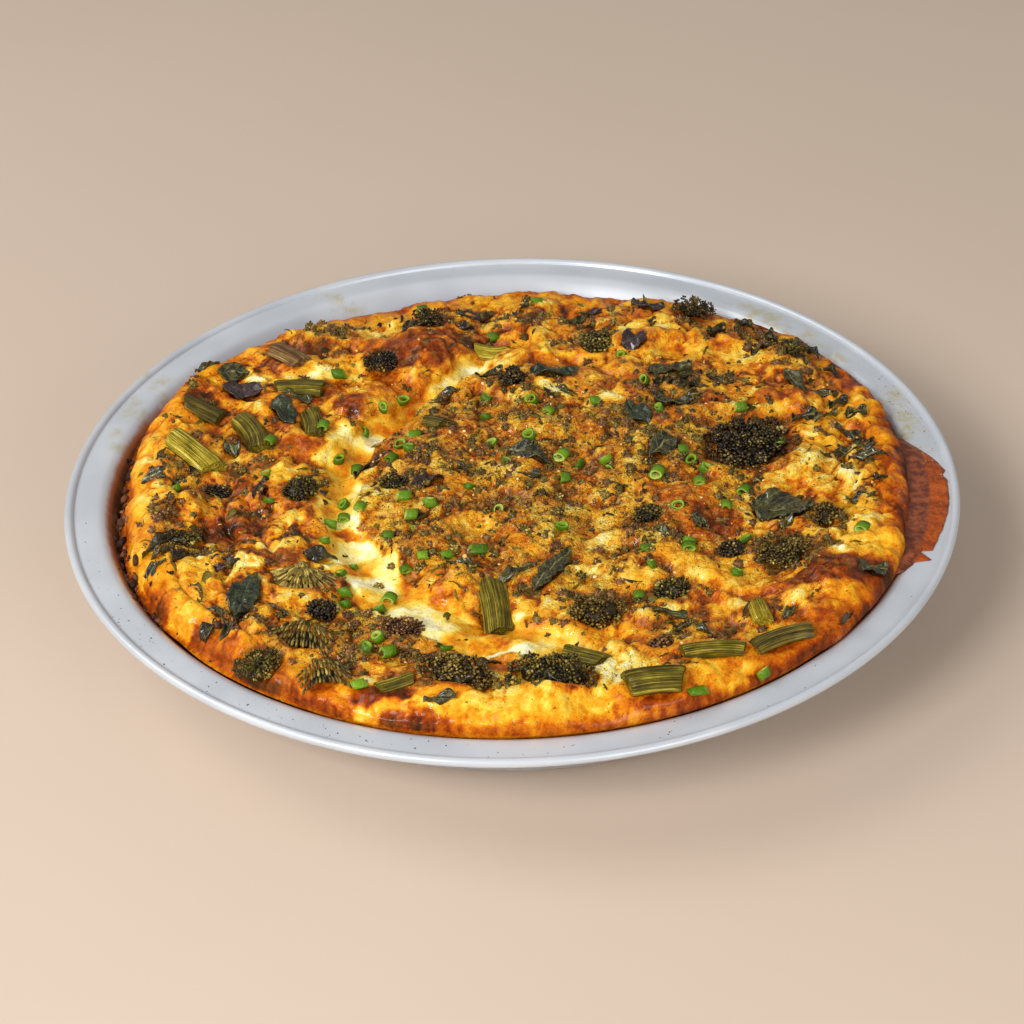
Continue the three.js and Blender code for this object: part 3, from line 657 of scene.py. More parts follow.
@dataclass(frozen=True)
class Prototype:
    """A small shape that is copied many times: points, triangles and a value for each point."""

    points: Array
    triangles: Array
    value: Array

    @staticmethod
    def from_shape(shape: BMesh, value: Array | None = None) -> "Prototype":
        """Reads a bmesh, and frees it."""
        bmesh.ops.triangulate(shape, faces=shape.faces[:])
        points = places_of(shape)
        triangles = np.array([[vertex.index for vertex in face.verts] for face in shape.faces], int)
        shape.free()
        return Prototype(points, triangles, np.zeros(len(points)) if value is None else value)

    @staticmethod
    def crumb(seed: int, jag: float) -> "Prototype":
        """An uneven crumb of twenty faces and unit radius, whose value rises towards its top as a painted
        highlight.
        """
        shape = bmesh.new()
        bmesh.ops.create_icosphere(shape, subdivisions=1, radius=1)
        random = default_rng(seed)
        places = places_of(shape)
        move_points(shape, places * random.uniform(1 - jag, 1 + jag, (len(places), 1)))
        # The value lifts the tone towards the top: painted highlight
        return Prototype.from_shape(shape, 0.45 * np.clip(places[:, 2], 0, 1))

    @staticmethod
    def strip(seed: int, wide: float) -> "Prototype":
        """A thin strip of unit length that curls sideways and stands partly on edge."""
        random = default_rng(seed)
        shape = grid(9, 1 + (wide > 0.3), 0.5)
        bmesh.ops.solidify(shape, geom=shape.faces[:], thickness=0.05)
        x, y, z = places_of(shape).T
        taper = 1 - 0.7 * np.abs(2 * x) ** 3 + 0.25 * np.sin(9 * x + seed)
        sweep = random.uniform(0.5, 4.2 - 2.5 * wide)
        arch = random.uniform(0.05, 0.3)
        stand = random.uniform(-1, 1)
        y = wide * y * taper
        lean = stand * (1 + 0.8 * np.sin(5 * x))
        side, up = y * np.cos(lean) - z * np.sin(lean), z * np.cos(lean) + y * np.sin(lean)
        reach = 1 / sweep - side
        bent = 1 / sweep - reach * np.cos(sweep * x) - 0.1
        move_points(shape, np.stack([reach * np.sin(sweep * x), bent, up + arch * (0.25 - x * x)], -1))
        return Prototype.from_shape(shape)

    @staticmethod
    def rib(seed: int) -> "Prototype":
        """A bent, tapering rib of unit length that lies along X, thickest at its far end."""
        random = default_rng(seed)
        shape = bmesh.new()
        bmesh.ops.create_uvsphere(shape, u_segments=6, v_segments=6, radius=0.5)
        down = Matrix.Rotation(math.pi / 2, 3, "Y")
        bmesh.ops.rotate(shape, verts=shape.verts[:], cent=(0, 0, 0), matrix=down)
        x, y, z = places_of(shape).T
        thick = 0.24 * (1 + 1.1 * x)
        side = y * thick + random.uniform(-0.3, 0.3) * x * x
        up = z * thick + 0.35 * (0.25 - x * x)
        move_points(shape, np.stack([x + 0.5, side, up], -1))
        return Prototype.from_shape(shape, np.clip(x + 0.5, 0, 1) * 0.8)

    @staticmethod
    def ring(bore: float, wall: float, slant: float, sides: int = 14) -> "Prototype":
        """A slanted slice of hollow stem with unit length along Z, bore and wall given as radii."""
        shape = bmesh.new()
        made = bmesh.ops.create_circle(shape, segments=8, radius=1)["verts"]
        for vertex in made:
            across, along = vertex.co.x, vertex.co.y
            square = 0.8 / max(abs(across), abs(along)) + 0.2
            vertex.co = (bore + wall / 2 + across * square * wall / 2, 0, along * square / 2)
        bmesh.ops.spin(shape, geom=shape.verts[:] + shape.edges[:], axis=(0, 0, 1), cent=(0, 0, 0),
                       steps=sides, angle=TAU, use_merge=True)
        bmesh.ops.recalc_face_normals(shape, faces=shape.faces[:])
        places = places_of(shape)
        across = np.hypot(places[:, 0], places[:, 1])
        cut = ease(np.abs(places[:, 2]), 0.3, 0.5) * (across < bore + wall * 0.95)
        angle = np.arctan2(places[:, 1], places[:, 0])
        places[:, :2] *= (1 + 0.1 * np.sin(2 * angle + 9 * slant) + 0.06 * np.sin(3 * angle))[:, None]
        places[:, 2] += slant * places[:, 0]
        move_points(shape, places)
        return Prototype.from_shape(shape, np.maximum(cut, across < bore + wall * 0.3))


@dataclass
class Heap:
    """Many small copies, joined into one mesh."""

    prototypes: Sequence[Prototype]
    points: list[Array] = field(default_factory=list)
    triangles: list[Array] = field(default_factory=list)
    marks: list[Array] = field(default_factory=list)
    count: int = 0

    def add(self, kinds: Array, places: Array, frames: Array, sizes: Array, tones: Array) -> None:
        """Adds copies.

        Args:
            kinds: which prototype each copy is.
            places: where its origin goes.
            frames: its turn, as a matrix whose columns are its own directions.
            sizes: its size along each of its own directions.
            tones: its own tone.
        """
        for kind, shape in enumerate(self.prototypes):
            mine = np.flatnonzero(kinds == kind)
            if not len(mine):
                continue
            local = shape.points[None] * sizes[mine, None]
            moved = np.einsum("nij,nvj->nvi", frames[mine], local) + places[mine, None]
            each = len(shape.points)
            first = self.count + each * np.arange(len(mine))
            self.points.append(moved.reshape(-1, 3))
            self.triangles.append((shape.triangles[None] + first[:, None, None]).reshape(-1, 3))
            self.marks.append(np.stack([np.repeat(tones[mine], each), np.tile(shape.value, len(mine))], -1))
            self.count += each * len(mine)

    def mesh(self, name: str) -> Mesh:
        """Joins the copies into one mesh with their marks."""
        mesh = bpy.data.meshes.new(name)
        mesh.from_pydata(np.concatenate(self.points).tolist(), [], np.concatenate(self.triangles).tolist())
        add_marks(mesh, "mark", np.concatenate(self.marks))
        return mesh


def frames_on(normals: Array, spins: Array) -> Array:
    """Turns whose third direction is the normal, spun round it.

    Args:
        normals: one unit normal for each copy.
        spins: angles in radians.

    Returns:
        One matrix for each copy.
    """
    guide = np.where(np.abs(normals[:, 2:]) < 0.9, [0.0, 0, 1], [1.0, 0, 0])
    first = unit(np.cross(guide, normals))
    second = np.cross(normals, first)
    cosine, sine = np.cos(spins)[:, None], np.sin(spins)[:, None]
    return np.stack([first * cosine + second * sine, second * cosine - first * sine, normals], -1)


def turn_about_z(degrees: float) -> Array:
    """A turn in the plane."""
    return np.array(Matrix.Rotation(math.radians(degrees), 3, "Z"))


@dataclass(frozen=True)
class BakedTop:
    """The height of the baked egg, from the same sizes as its solid: stations every 30 degrees from +X."""

    radius: tuple[float, ...] = (128.3, 131, 127.3, 125, 124, 127, 125.6, 127.4, 130.8, 132.4, 132.8, 131.8)
    foot: tuple[float, ...] = (35.7, 35.5, 32, 29.5, 30, 32.5, 33.5, 33, 35.5, 35.8, 35.8, 35.7)
    crest: tuple[float, ...] = (41, 40, 37.5, 36.5, 37.5, 41, 42, 41, 41, 41.8, 41.6, 41.4)
    roll: tuple[float, ...] = (10, 11, 13, 15, 14, 11, 9, 9, 10, 10, 9, 9)
    ruffles: Rows = ((9, 0.5, 1.0), (17, 0.35, 2.0), (31, 0.25, 0.4))
    level: float = 38.6
    blend_width: float = 24
    hollow: Rows = (
        (-8, 79), (-22, 56), (-42, 30), (-56, 3), (-54, -27), (-42, -54), (-20, -73), (8, -86))
    hollow_half: float = 7
    hollow_depth: float = 4.2
    swells: Rows = (
        (-32, 72, 17, 13, 4.0), (8, 5, 48, 38, 1.5), (-75, -5, 11, 9, 20, 4.0),
        (-110, -20, 13, 7, -10, 3.5), (-118, 6, 9, 9, 2.5), (-119, -35, 8, 9, 2.0),
        (-108, 54, 20, 6, 42, 2.5), (-60, 66, 22, 7, 8, 2.5), (-52, 40, 8, 9, 3.0), (54, -20, 14, 9, 2.8),
        (53, 25, 8, 6, 1.8), (56, 77, 13, 7, 2.2), (90, 36, 10, 6, 2.2), (98, -66, 17, 11, 30, 2.5),
        (81, -72, 8, 8, 3.0), (33, 42, 7, 5, 1.8), (13, -119, 9, 6, 1.5), (-85, -96, 8, 7, 2.5),
        (-45, -117, 14, 6, -12, 1.6), (-88, -26, 15, 7, -3.0), (72, -33, 12, 8, -1.6),
        (-98, 28, 9, 12, -1.6))

    def around(self, values: Sequence[float], azimuth: Array) -> Array:
        """A smooth closed curve through evenly spaced values.

        Args:
            values: one value for each station.
            azimuth: where to read it, in radians.

        Returns:
            The value at each azimuth.
        """
        table = np.array(values, float)
        place = np.asarray(azimuth) / TAU % 1 * len(table)
        first = np.floor(place).astype(int)
        t = place - first
        a, b, c, d = (table[(first + step) % len(table)] for step in (-1, 0, 1, 2))
        curve = 3 * b - a - 3 * c + d
        return 0.5 * (2 * b + (c - a) * t + (2 * a - 5 * b + 4 * c - d) * t * t + curve * t**3)

    def edge(self, azimuth: Array) -> Array:
        """Radius of the bake's edge."""
        radius = self.around(self.radius, azimuth) - 0.4
        for count, depth, shift in self.ruffles:
            radius = radius + depth * np.sin(count * azimuth + shift)
        return radius

    def to_line(self, line: Sequence[Sequence[float]], x: Array, y: Array) -> Array:
        """Distance to a line of joined stretches."""
        nearest = np.full(np.shape(x), 1e9)
        for (ax, ay), (bx, by) in zip(line, line[1:]):
            dx, dy = bx - ax, by - ay
            t = np.clip(((x - ax) * dx + (y - ay) * dy) / (dx * dx + dy * dy), 0, 1)
            nearest = np.minimum(nearest, np.hypot(x - ax - t * dx, y - ay - t * dy))
        return nearest

    def height(self, x: Array, y: Array) -> Array:
        """Height of the bake over points of the plane."""
        x, y = np.asarray(x, float), np.asarray(y, float)
        azimuth = np.arctan2(y, x)
        inward = np.maximum(0, self.edge(azimuth) - np.hypot(x, y))
        roll = self.around(self.roll, azimuth)
        crest = self.around(self.crest, azimuth)
        share = np.clip((inward - roll) / self.blend_width, 0, 1)
        ground = crest + (self.level - crest) * share * share * (3 - 2 * share)
        rise = -self.hollow_depth * np.exp(-((self.to_line(self.hollow, x, y) / self.hollow_half) ** 2))
        for i in range(4):
            length, way = 40 * 0.74**i, GOLDEN_ANGLE * i
            phase = TAU * (x * math.cos(way) + y * math.sin(way)) / length + 1.7 * i
            rise = rise + 0.026 * length * np.sin(phase + 1.2 * np.sin(phase * 0.37))
        for *oval, swell in self.swells:
            rise = rise + swell * np.exp(-(from_oval(x, y, oval) ** 2))
        foot = self.around(self.foot, azimuth)
        outward = 1 - np.minimum(1, inward / roll)
        return foot + (ground + rise - foot) * np.sqrt(1 - outward * outward)

    def normal(self, x: Array, y: Array) -> Array:
        """Unit normals of the bake, from heights a little apart."""
        step = 0.15
        slope_x = (self.height(x + step, y) - self.height(x - step, y)) / (2 * step)
        slope_y = (self.height(x, y + step) - self.height(x, y - step)) / (2 * step)
        return unit(np.stack([-slope_x, -slope_y, np.ones_like(slope_x)], -1))


class Tone(Enum):
    """How far a place of the egg has browned, as a share of the way from cream to black."""

    CREAM = 0.05
    PALE = 0.18
    GOLD = 0.33
    AMBER = 0.42
    ORANGE = 0.52
    RUST = 0.63
    BROWN = 0.82


@dataclass(frozen=True)
class Surface:
    """What the egg looks like at each point: relief in millimetres, and shares from 0 to 1."""

    relief: Array
    tone: Array
    herb: Array
    wet: Array
    crumb: Array
    bare: Array


@dataclass
class BakedEgg:
    """The bake itself, with its puffed rim, its wet hollow, its browned places and its green flecks."""

    top: BakedTop
    footprints: Sequence[Sequence[float]]
    cells: int = 306
    edge_round: float = 128
    side: Rows = ((2, 0, 1.3), (2.6, 0, 4), (3, 4.0, 0), (4.6, 1.5, 0))
    wall_gap: float = 0.6
    closed_middle: float = -1.36
    closed_reach: tuple[float, float] = (1.3, 0.98)
    rim_tone: tuple[float, ...] = (0.62, 0.47, 0.46, 0.5, 0.48, 0.45, 0.39, 0.44, 0.47, 0.42, 0.43, 0.56)
    patches: dict[Tone, Rows] = field(default_factory=lambda: {
        Tone.PALE: (
            (65, -78, 8, 5), (3, -74, 5, 4), (26, -39, 8, 5), (22, -54, 5, 3), (112, -33, 8, 4),
            (-46, 90, 7, 4, 10), (24, -100, 5, 3, -30), (-13, -121, 4, 3), (-60, 12, 4, 5),
            (-55, -48, 4, 5), (-42, -60, 5, 4, -30), (-24, 52, 4, 5, -40), (20, 47, 4, 3),
            (-116, -20, 4, 6, 10), (108, -40, 6, 4, 20)),
        Tone.GOLD: (
            (-17, -10, 6, 5), (-21, -70, 9, 8), (-95, -58, 7, 12, 10), (-118, -45, 6, 14), (64, -62, 9, 8),
            (94, 32, 5, 5), (88, -10, 10, 7, 10), (110, 33, 12, 5, -15), (52, -52, 8, 6, -40),
            (-30, -122, 20, 4), (60, -110, 15, 6, 25), (10, 74, 9, 7), (35, -65, 8, 5), (0, -127, 16, 4),
            (58, 70, 12, 4), (70, 47, 6, 8), (110, -48, 10, 8), (106, -27, 9, 6), (-62, -100, 8, 5, 40),
            (-108, 30, 8, 9, -60), (-118, 8, 7, 8), (-110, -20, 12, 5, -10), (30, -122, 14, 6),
            (-103, -78, 6, 5, 40), (-12, -30, 9, 6), (26, 72, 9, 5), (102, 20, 7, 4, 20),
            (-75, -3, 9, 7, 20)),
        Tone.AMBER: (
            (-5, -91, 9, 5), (45, -100, 10, 5), (-60, 69, 18, 5, 8), (104, 8, 8, 5), (28, -88, 12, 5, -10),
            (120, -50, 6, 10), (-20, -118, 9, 4)),
        Tone.ORANGE: (
            (-38, 53, 12, 7, -25), (-80, 38, 5, 8), (45, -15, 7, 6), (54, -33, 6, 5), (81, -72, 7, 7),
            (-44, 49, 7, 6), (17, 67, 8, 4), (18, 36, 6, 5), (-9, -83, 3, 3), (-1, -92, 4, 3),
            (-88, -86, 7, 5), (12, -116, 10, 6), (4, -43, 13, 3, -45), (55, 80, 13, 6), (46, 94, 8, 6),
            (28, 102, 8, 5), (-20, -95, 12, 3, -10), (-100, 50, 9, 4, 40), (70, -70, 6, 4),
            (-22, -66, 5, 5), (35, -127, 14, 4, 8), (75, 76, 7, 4), (88, 68, 6, 4)),
        Tone.RUST: (
            (55, -20, 12, 7), (53, 25, 7, 6), (90, 38, 11, 5), (68, 37, 6, 4), (112, 17, 6, 4),
            (-52, -29, 6, 2.4, -10), (60, -37, 8, 5), (-70, 16, 10, 5), (60, -8, 7, 4), (93, -12, 4, 3),
            (40, 52, 6, 4), (88, -86, 9, 5), (-84, -62, 6, 4), (-86, -96, 6, 4, 20), (80, -107, 10, 4, 25),
            (-38, 12, 4, 5), (114, 50, 8, 5, -50), (-8, -105, 9, 5), (58, -75, 5, 3), (-48, 76, 8, 7),
            (100, -90, 8, 4, 40), (125, -16, 3, 20, 3)),
        Tone.BROWN: (
            (-32, 72, 15, 12), (-15, 83, 11, 5, -20), (-89, -29, 14, 7), (98, -66, 16, 8, 30),
            (64, -31, 9, 8), (-53, 40, 6, 6), (-70, 78, 9, 4), (-75, -46, 9, 5), (-40, -118, 9, 3, -5),
            (-104, 44, 6, 3, 20), (-78, 52, 6, 3)),
    })
    pale_line: Rows = (
        (-8, 77), (-22, 56), (-44, 31), (-55, 8), (-55, -26), (-47, -48), (-32, -70), (-14, -85), (8, -93))
    creams: Rows = (
        (-31, -71, 8, 5, 15), (-19, -81, 6, 4, -20), (-53, -38, 4, 6), (-57, 23, 4, 7, -10),
        (-16, 62, 9, 4, 50), (-10, 67, 7, 3, 10), (35, 42, 6, 5), (58, 61, 7, 3, 8), (13, 49, 7, 3, -8),
        (-67, 58, 8, 3, 5), (9, -91, 4, 4), (-115, 2, 5, 3), (-77, -41, 6, 3), (-48, 5, 4, 6, 20),
        (-45, 26, 6, 3, 30), (-51, -8, 3, 5))
    herbs: Rows = (
        (14, -26, 12, 9, 0.6), (0, 14, 22, 7, 0.45), (45, 24, 20, 15, 0.6), (-61, 91, 12, 10, 0.8),
        (-40, -88, 34, 11, -20, 0.62), (-62, -100, 22, 14, 0.6), (28, 80, 10, 9, 0.8),
        (90, 38, 16, 12, 0.3), (85, -50, 16, 10, 0.75), (60, 50, 24, 14, 0.5), (-85, -80, 12, 12, 0.6),
        (20, 95, 34, 8, 0.38), (-10, 98, 16, 8, 0.45), (84, 80, 22, 7, -42, 0.7),
        (100, 60, 14, 9, -30, 0.65), (100, -35, 10, 10, 0.55), (30, -72, 24, 9, 0.55),
        (-15, -112, 20, 8, 0.45), (45, -90, 16, 6, 0.45), (-35, -35, 12, 9, 0.35), (-75, -45, 12, 8, 0.5),
        (-85, 5, 12, 10, 0.4), (-72, 80, 10, 6, 0.4), (5, 55, 18, 7, 0.6), (40, -35, 11, 8, 0.65),
        (60, 8, 12, 7, 0.5), (-20, 2, 16, 13, 0.5), (-100, -65, 10, 8, 0.3), (110, 0, 8, 12, 0.35),
        (112, -22, 10, 6, 0.4), (-112, -35, 8, 14, 0.6), (60, -85, 12, 5, 0.4), (70, 92, 12, 6, -20, 0.6),
        (-96, 24, 8, 10, 0.4), (-103, -42, 11, 6, 20, 0.65), (-92, -52, 9, 6, 0.5), (-108, 0, 8, 6, 0.32))

    def read(self, x: Array, y: Array) -> Surface:
        """Works out what the egg looks like at points of the plane.

        Args:
            x, y: the points.

        Returns:
            The surface there.
        """
        places = np.stack([x, y], -1)
        shift = np.stack([Grain(seed).soft(places, 7.5) * 2.4 + Grain(seed + 2).soft(places, 2.4) * 1.1
                          for seed in (11, 12)], -1)
        wx, wy = (places + shift).T
        azimuth = np.arctan2(y, x)
        inward = np.maximum(0, self.top.edge(azimuth) - np.hypot(x, y))
        roll = self.top.around(self.top.roll, azimuth)
        rim = ease(inward / roll, 1.25, 0.75)
        narrow = 2.4 * ease(y, 10, 45) - 3.5 * ease(y, -20, -60)
        hollow = ease(self.top.to_line(self.pale_line, wx, wy) + narrow, 7.4, 5)
        near, _, own = Grain(21).lumps(places + 0.8 * shift, 6.4)
        _, _, small_own = Grain(22).lumps(places + 0.5 * shift, 2.7)
        fold = np.abs(Grain(23).layered(places + 1.5 * shift, 14, 2))
        pleats = np.abs(Grain(27).layered(places - 1.2 * shift, 6.5, 2))
        pit = ease(Grain(28).layered(places + shift, 5.2, 2), 0.16, 0.6)
        grit = Grain(29).layered(places, 2.3, 2)
        shelf = Grain(35).layered(places + 1.4 * shift, 11, 2)
        lip = np.exp(-((shelf - 0.05) / 0.07) ** 2)
        # crease marks the valleys of the folds, pleats and side skins, where the tone below darkens
        crease = np.maximum(ease(fold, 0.1, 0), 0.7 * ease(pleats, 0.09, 0))
        sides = np.maximum(ease(x, -50, -82), 0.7 * ease(x, 66, 98)) * ease(inward, 2, 6)
        around = self.edge_round * np.where(x < 0, azimuth % TAU, azimuth)
        slanted = np.stack([0.35 * (around + 0.8 * inward), inward], -1)
        skin = np.abs(Grain(37).layered(slanted + 0.6 * shift, 7, 2))
        crease = np.maximum(crease, 0.75 * sides * ease(skin, 0.1, 0))
        wide = Grain(24).layered(places, 22)
        centre = ease(from_oval(x, y, (16, -6, 70, 58, 0)), 1.3, 0.7)
        # The tone is darker in creases, partly browning and partly painted shade, and darker in pits as
        # painted shade; it is lighter on fold ridges, partly drier skin and partly painted highlight, and on
        # raised grit as painted highlight
        tone = 0.4 + 0.28 * (own - 0.5) + 0.12 * (small_own - 0.5) + 0.16 * wide + 0.22 * crease
        tone += 0.2 * crease * (1 - centre) + 0.2 * pit - 0.06 * grit + 0.1 * lip
        tone += 0.05 * ease(x, -30, -70) - (0.16 - 0.08 * centre) * ease(fold, 0.15, 0.5)
        wet = 0.5 + 0.3 * wide
        herb = 0.12 + 0.2 * centre
        for *oval, density in self.herbs:
            herb = np.maximum(herb, density * ease(from_oval(wx, wy, oval), 1.15, 0.6))
        tone += 0.12 * ease(herb, 0.35, 0.7) * (1 - centre) + 0.05 * centre
        tone += 0.4 * hollow * (1 - hollow)
        crumb = np.maximum(0.35 + 0.65 * centre, 0.8 * ease(herb, 0.3, 0.6)) * (1 - hollow)
        creamy = 0.18 + 0.42 * Grain(25).layered(places + shift, 8, 2) + 0.05 * small_own
        tone = blend(tone, creamy, hollow)
        herb = (herb + 0.25 * pit) * (1 - 0.8 * hollow)
        wet = np.maximum(wet, 0.6 * hollow)
        ring = np.stack([*polar(self.edge_round, azimuth), 0.28 * inward], -1)
        wrinkle = 1 - 2 * np.abs(Grain(31).soft(ring, 4.4))
        pleat = 1 - 2 * np.abs(Grain(33).soft(ring, 2.2))
        bulge = Grain(32).layered(ring, 13, 2)
        outward = np.clip(1 - inward / roll, 0, 1)
        rim_tone = self.top.around(self.rim_tone, azimuth) + 0.16 * ease(outward, 0.5, 0.95)
        # The rim's wrinkle and pleat grooves and its creases are darker and its bulges lighter: painted shade
        # and painted highlight, the creases partly browning
        rim_tone += 0.12 * ease(outward, 0.8, 1) + 0.05 * wrinkle - 0.12 * bulge + 0.05 * pleat - 0.06
        rim_tone += 0.16 * crease - 0.07 * ease(np.abs(outward - 0.3), 0.3, 0)
        tone = blend(tone, rim_tone, rim)
        herb *= 1 - (0.6 - 0.45 * sides) * rim
        crumb *= 1 - 0.85 * rim
        wet = blend(wet, 0.25, rim)
        for kind, ovals in self.patches.items():
            for oval in ovals:
                share = ease(from_oval(wx, wy, oval), 1.15, 0.7)
                # The crease term darkens the patches' creases too: partly browning, partly painted shade
                speckle = 0.2 * (small_own - 0.5) + 0.06 * wide + 0.12 * crease
                tone = blend(tone, kind.value + speckle, 0.85 * share)
                crumb *= 1 - 0.45 * share
                herb *= 1 - 0.65 * share
                wet = blend(wet, 0.45 if kind in (Tone.GOLD, Tone.AMBER) else 0.6, share)
        for oval in self.creams:
            share = ease(from_oval(wx, wy, oval), 1.35, 0.2)
            tone = blend(tone, Tone.CREAM.value + 0.07 * small_own, 0.95 * share)
            crumb *= 1 - 0.75 * share
            herb *= 1 - 0.9 * share
            wet = np.maximum(wet, 0.8 * share)
        puff = 2.2 * np.minimum(1, fold / 0.42) ** 0.7 + 0.9 * np.minimum(1, pleats / 0.4) ** 0.7 - 1.9
        firm = 1 - 0.65 * hollow
        rough = 0.6 * ease(tone, 0.48, 0.62) * (1 - rim)
        relief = firm * (1 - 0.55 * rim) * puff + crumb * (0.5 * grit - 1.1 * pit)
        relief += (1.3 - 0.3 * centre) * firm * (1 - rim) * ease(shelf, -0.04, 0.07)
        relief += 0.18 * Grain(26).soft(places, 3.4) + 0.25 * (1 - rim) * (0.45 - near)
        relief += sides * (2.5 * np.minimum(1, skin / 0.4) ** 0.6 - 1.9)
        relief += rough * Grain(36).layered(places + shift, 3.4, 2) - 0.7 * hollow
        relief += 1.2 * hollow * Grain(34).layered(places + shift, 6, 3)
        ruffle = (1.2 + 0.8 * sides) * bulge - (0.35 + 0.25 * sides) * wrinkle - 0.25 * pleat
        relief += rim * ruffle * ease(outward, 0.05, 0.4)
        contact = np.full(len(x), 99.0)
        for oval in self.footprints:
            contact = np.minimum(contact, (from_oval(x, y, oval) - 1) * min(oval[2], oval[3]))
        relief *= 1 - 0.6 * ease(contact, 5, 1)
        under = ease(contact, 0.2, -1.4)
        beside = np.exp(-(((contact - 1.0) / 1.3) ** 2))
        relief = blend(relief, -0.9, under) + 0.6 * beside
        # A darker ring round each topping and darker ground under it: partly browning where the egg touched
        # it, partly painted shadow
        tone += 0.1 * beside * (tone > 0.2) + 0.25 * under
        relief *= ease(inward, 0, 1.4)
        return Surface(relief, np.clip(tone, 0, 1), herb, np.clip(wet, 0, 1), np.clip(crumb, 0, 1),
                       ease(contact, 0.2, 1.2))

    def spread(self, flat: Array) -> Pair:
        """Spreads a square grid over the round bake, with finer steps towards the edge.

        Args:
            flat: points of a square from -1 to 1.

        Returns:
            The points' x and y on the bake.
        """
        a, b = flat.T
        wide = np.abs(a) > np.abs(b)
        reach = np.where(wide, a, b)
        safe = np.where(reach == 0, 1, reach)
        quarter = math.pi / 4
        angle = np.where(wide, quarter * b / safe, math.pi / 2 - quarter * a / safe)
        azimuth = np.where(reach < 0, angle + math.pi, angle)
        share = np.abs(reach)
        return polar((1.13 * share - 0.13 * share**7) * self.top.edge(azimuth), azimuth)

    def closing(self, azimuth: Array) -> Array:
        """How far the foot of the rim closes on the flange and stays light, in front and on the right."""
        return ease(np.abs(azimuth - self.closed_middle), *self.closed_reach)

    def build(self, finish: Material) -> Object:
        """Builds the bake as one closed piece.

        Args:
            finish: the egg's material.

        Returns:
            The piece.
        """
        shape = grid(self.cells, self.cells, 1)
        x, y = self.spread(places_of(shape)[:, :2])
        surface = self.read(x, y)
        places = np.stack([x, y, self.top.height(x, y)], -1)
        move_points(shape, places + self.top.normal(x * 0.9995, y * 0.9995) * surface.relief[:, None])
        loop = [edge for edge in shape.edges if edge.is_boundary]
        for inset, height, below in self.side:
            grown = bmesh.ops.extrude_edge_only(shape, edges=loop)["geom"]
            loop = [item for item in grown if isinstance(item, bmesh.types.BMEdge) and item.is_boundary]
            for vertex in points_among(grown):
                azimuth = math.atan2(vertex.co.y, vertex.co.x)
                up = height or min(float(self.top.around(self.top.foot, azimuth)), FLANGE_TOP) - below
                wall = inner_wall(up) - self.wall_gap
                # The first point of the first loop sets how far the whole loop reaches past the edge
                if inset == self.side[0][0]:
                    front = float(self.closing(np.array(azimuth)))
                    inset, wall = inset - 4 * front, wall + 2.6 * front
                    up += 0.12 * front
                radius = min(float(self.top.edge(azimuth)) - inset, wall)
                vertex.co = (*polar(radius, azimuth), up)
        bmesh.ops.holes_fill(shape, edges=loop, sides=0)
        mesh, places = closed_mesh("egg", shape)
        marks = np.tile([0.8, 0.1, 0.2, 0.3], (len(places), 1))
        marks[:, 0] -= 0.28 * self.closing(np.arctan2(places[:, 1], places[:, 0]))
        marks[: len(x)] = np.stack([surface.tone, surface.herb, surface.wet, surface.crumb], -1)
        add_marks(mesh, "bake", marks)
        return Piece("egg", "baked_egg", ("custard",)).place(mesh, finish)


@dataclass(frozen=True)
class Overflow:
    """The tongue of egg that ran over the rim on the right: azimuth in degrees and radius of its edge."""

    edge: Rows = (
        (8, 130.6), (5.5, 134), (2.5, 138.5), (-0.5, 141.2), (-1.6, 139.8), (-2.8, 141.2), (-8, 141.2),
        (-12, 140.4), (-16, 139.4), (-19.3, 138.6), (-19.9, 134.6), (-21.4, 139.6), (-22.6, 135),
        (-25, 133.2), (-27, 130.6))
    inner: float = 124
    bottom: float = 35.05
    top: float = 36.2
    lip: float = 0.35

    def creases(self, azimuth: Array, radius: Array) -> Array:
        """Creases that run outward."""
        return Grain(42).layered(np.stack([azimuth * 2.3, radius * 0.12], -1), 2.2)

    def build(self, finish: Material) -> Object:
        """Builds the tongue as one closed sheet."""
        shape = grid(130, 22, 0.5)
        u, v, _ = places_of(shape).T
        share, outward = u + 0.5, v + 0.5
        azimuth = 8 - 35 * share
        angles, radii = np.array(self.edge[::-1]).T
        arc = np.stack([azimuth * 2.3, np.zeros_like(azimuth)], -1)
        edge = np.interp(azimuth, angles, radii) + 0.35 * Grain(41).layered(arc, 3)
        radius = self.inner + (edge - self.inner) * outward
        creases = self.creases(azimuth, radius)
        thin = ease(outward, 1, 0.62)
        up = self.bottom + self.lip + (self.top - self.bottom - self.lip) * thin + 0.22 * creases * outward
        up = blend(up, self.bottom + 0.12, ease(outward, 0.96, 1.0))
        move_points(shape, np.stack([*polar(radius, np.radians(azimuth)), up], -1))
        down = bmesh.ops.extrude_face_region(shape, geom=shape.faces[:], use_keep_orig=True)["geom"]
        for vertex in points_among(down):
            vertex.co.z = self.bottom
        mesh, places = closed_mesh("overflow", shape)
        azimuth = np.degrees(np.arctan2(places[:, 1], places[:, 0]))
        radius = np.hypot(places[:, 0], places[:, 1])
        creases = 0.5 + 0.5 * self.creases(azimuth, radius)
        add_marks(mesh, "mark", np.stack([(radius - 127.5) / 14, creases], -1))
        return Piece("overflow", "baked_egg", ("custard",)).place(mesh, finish)


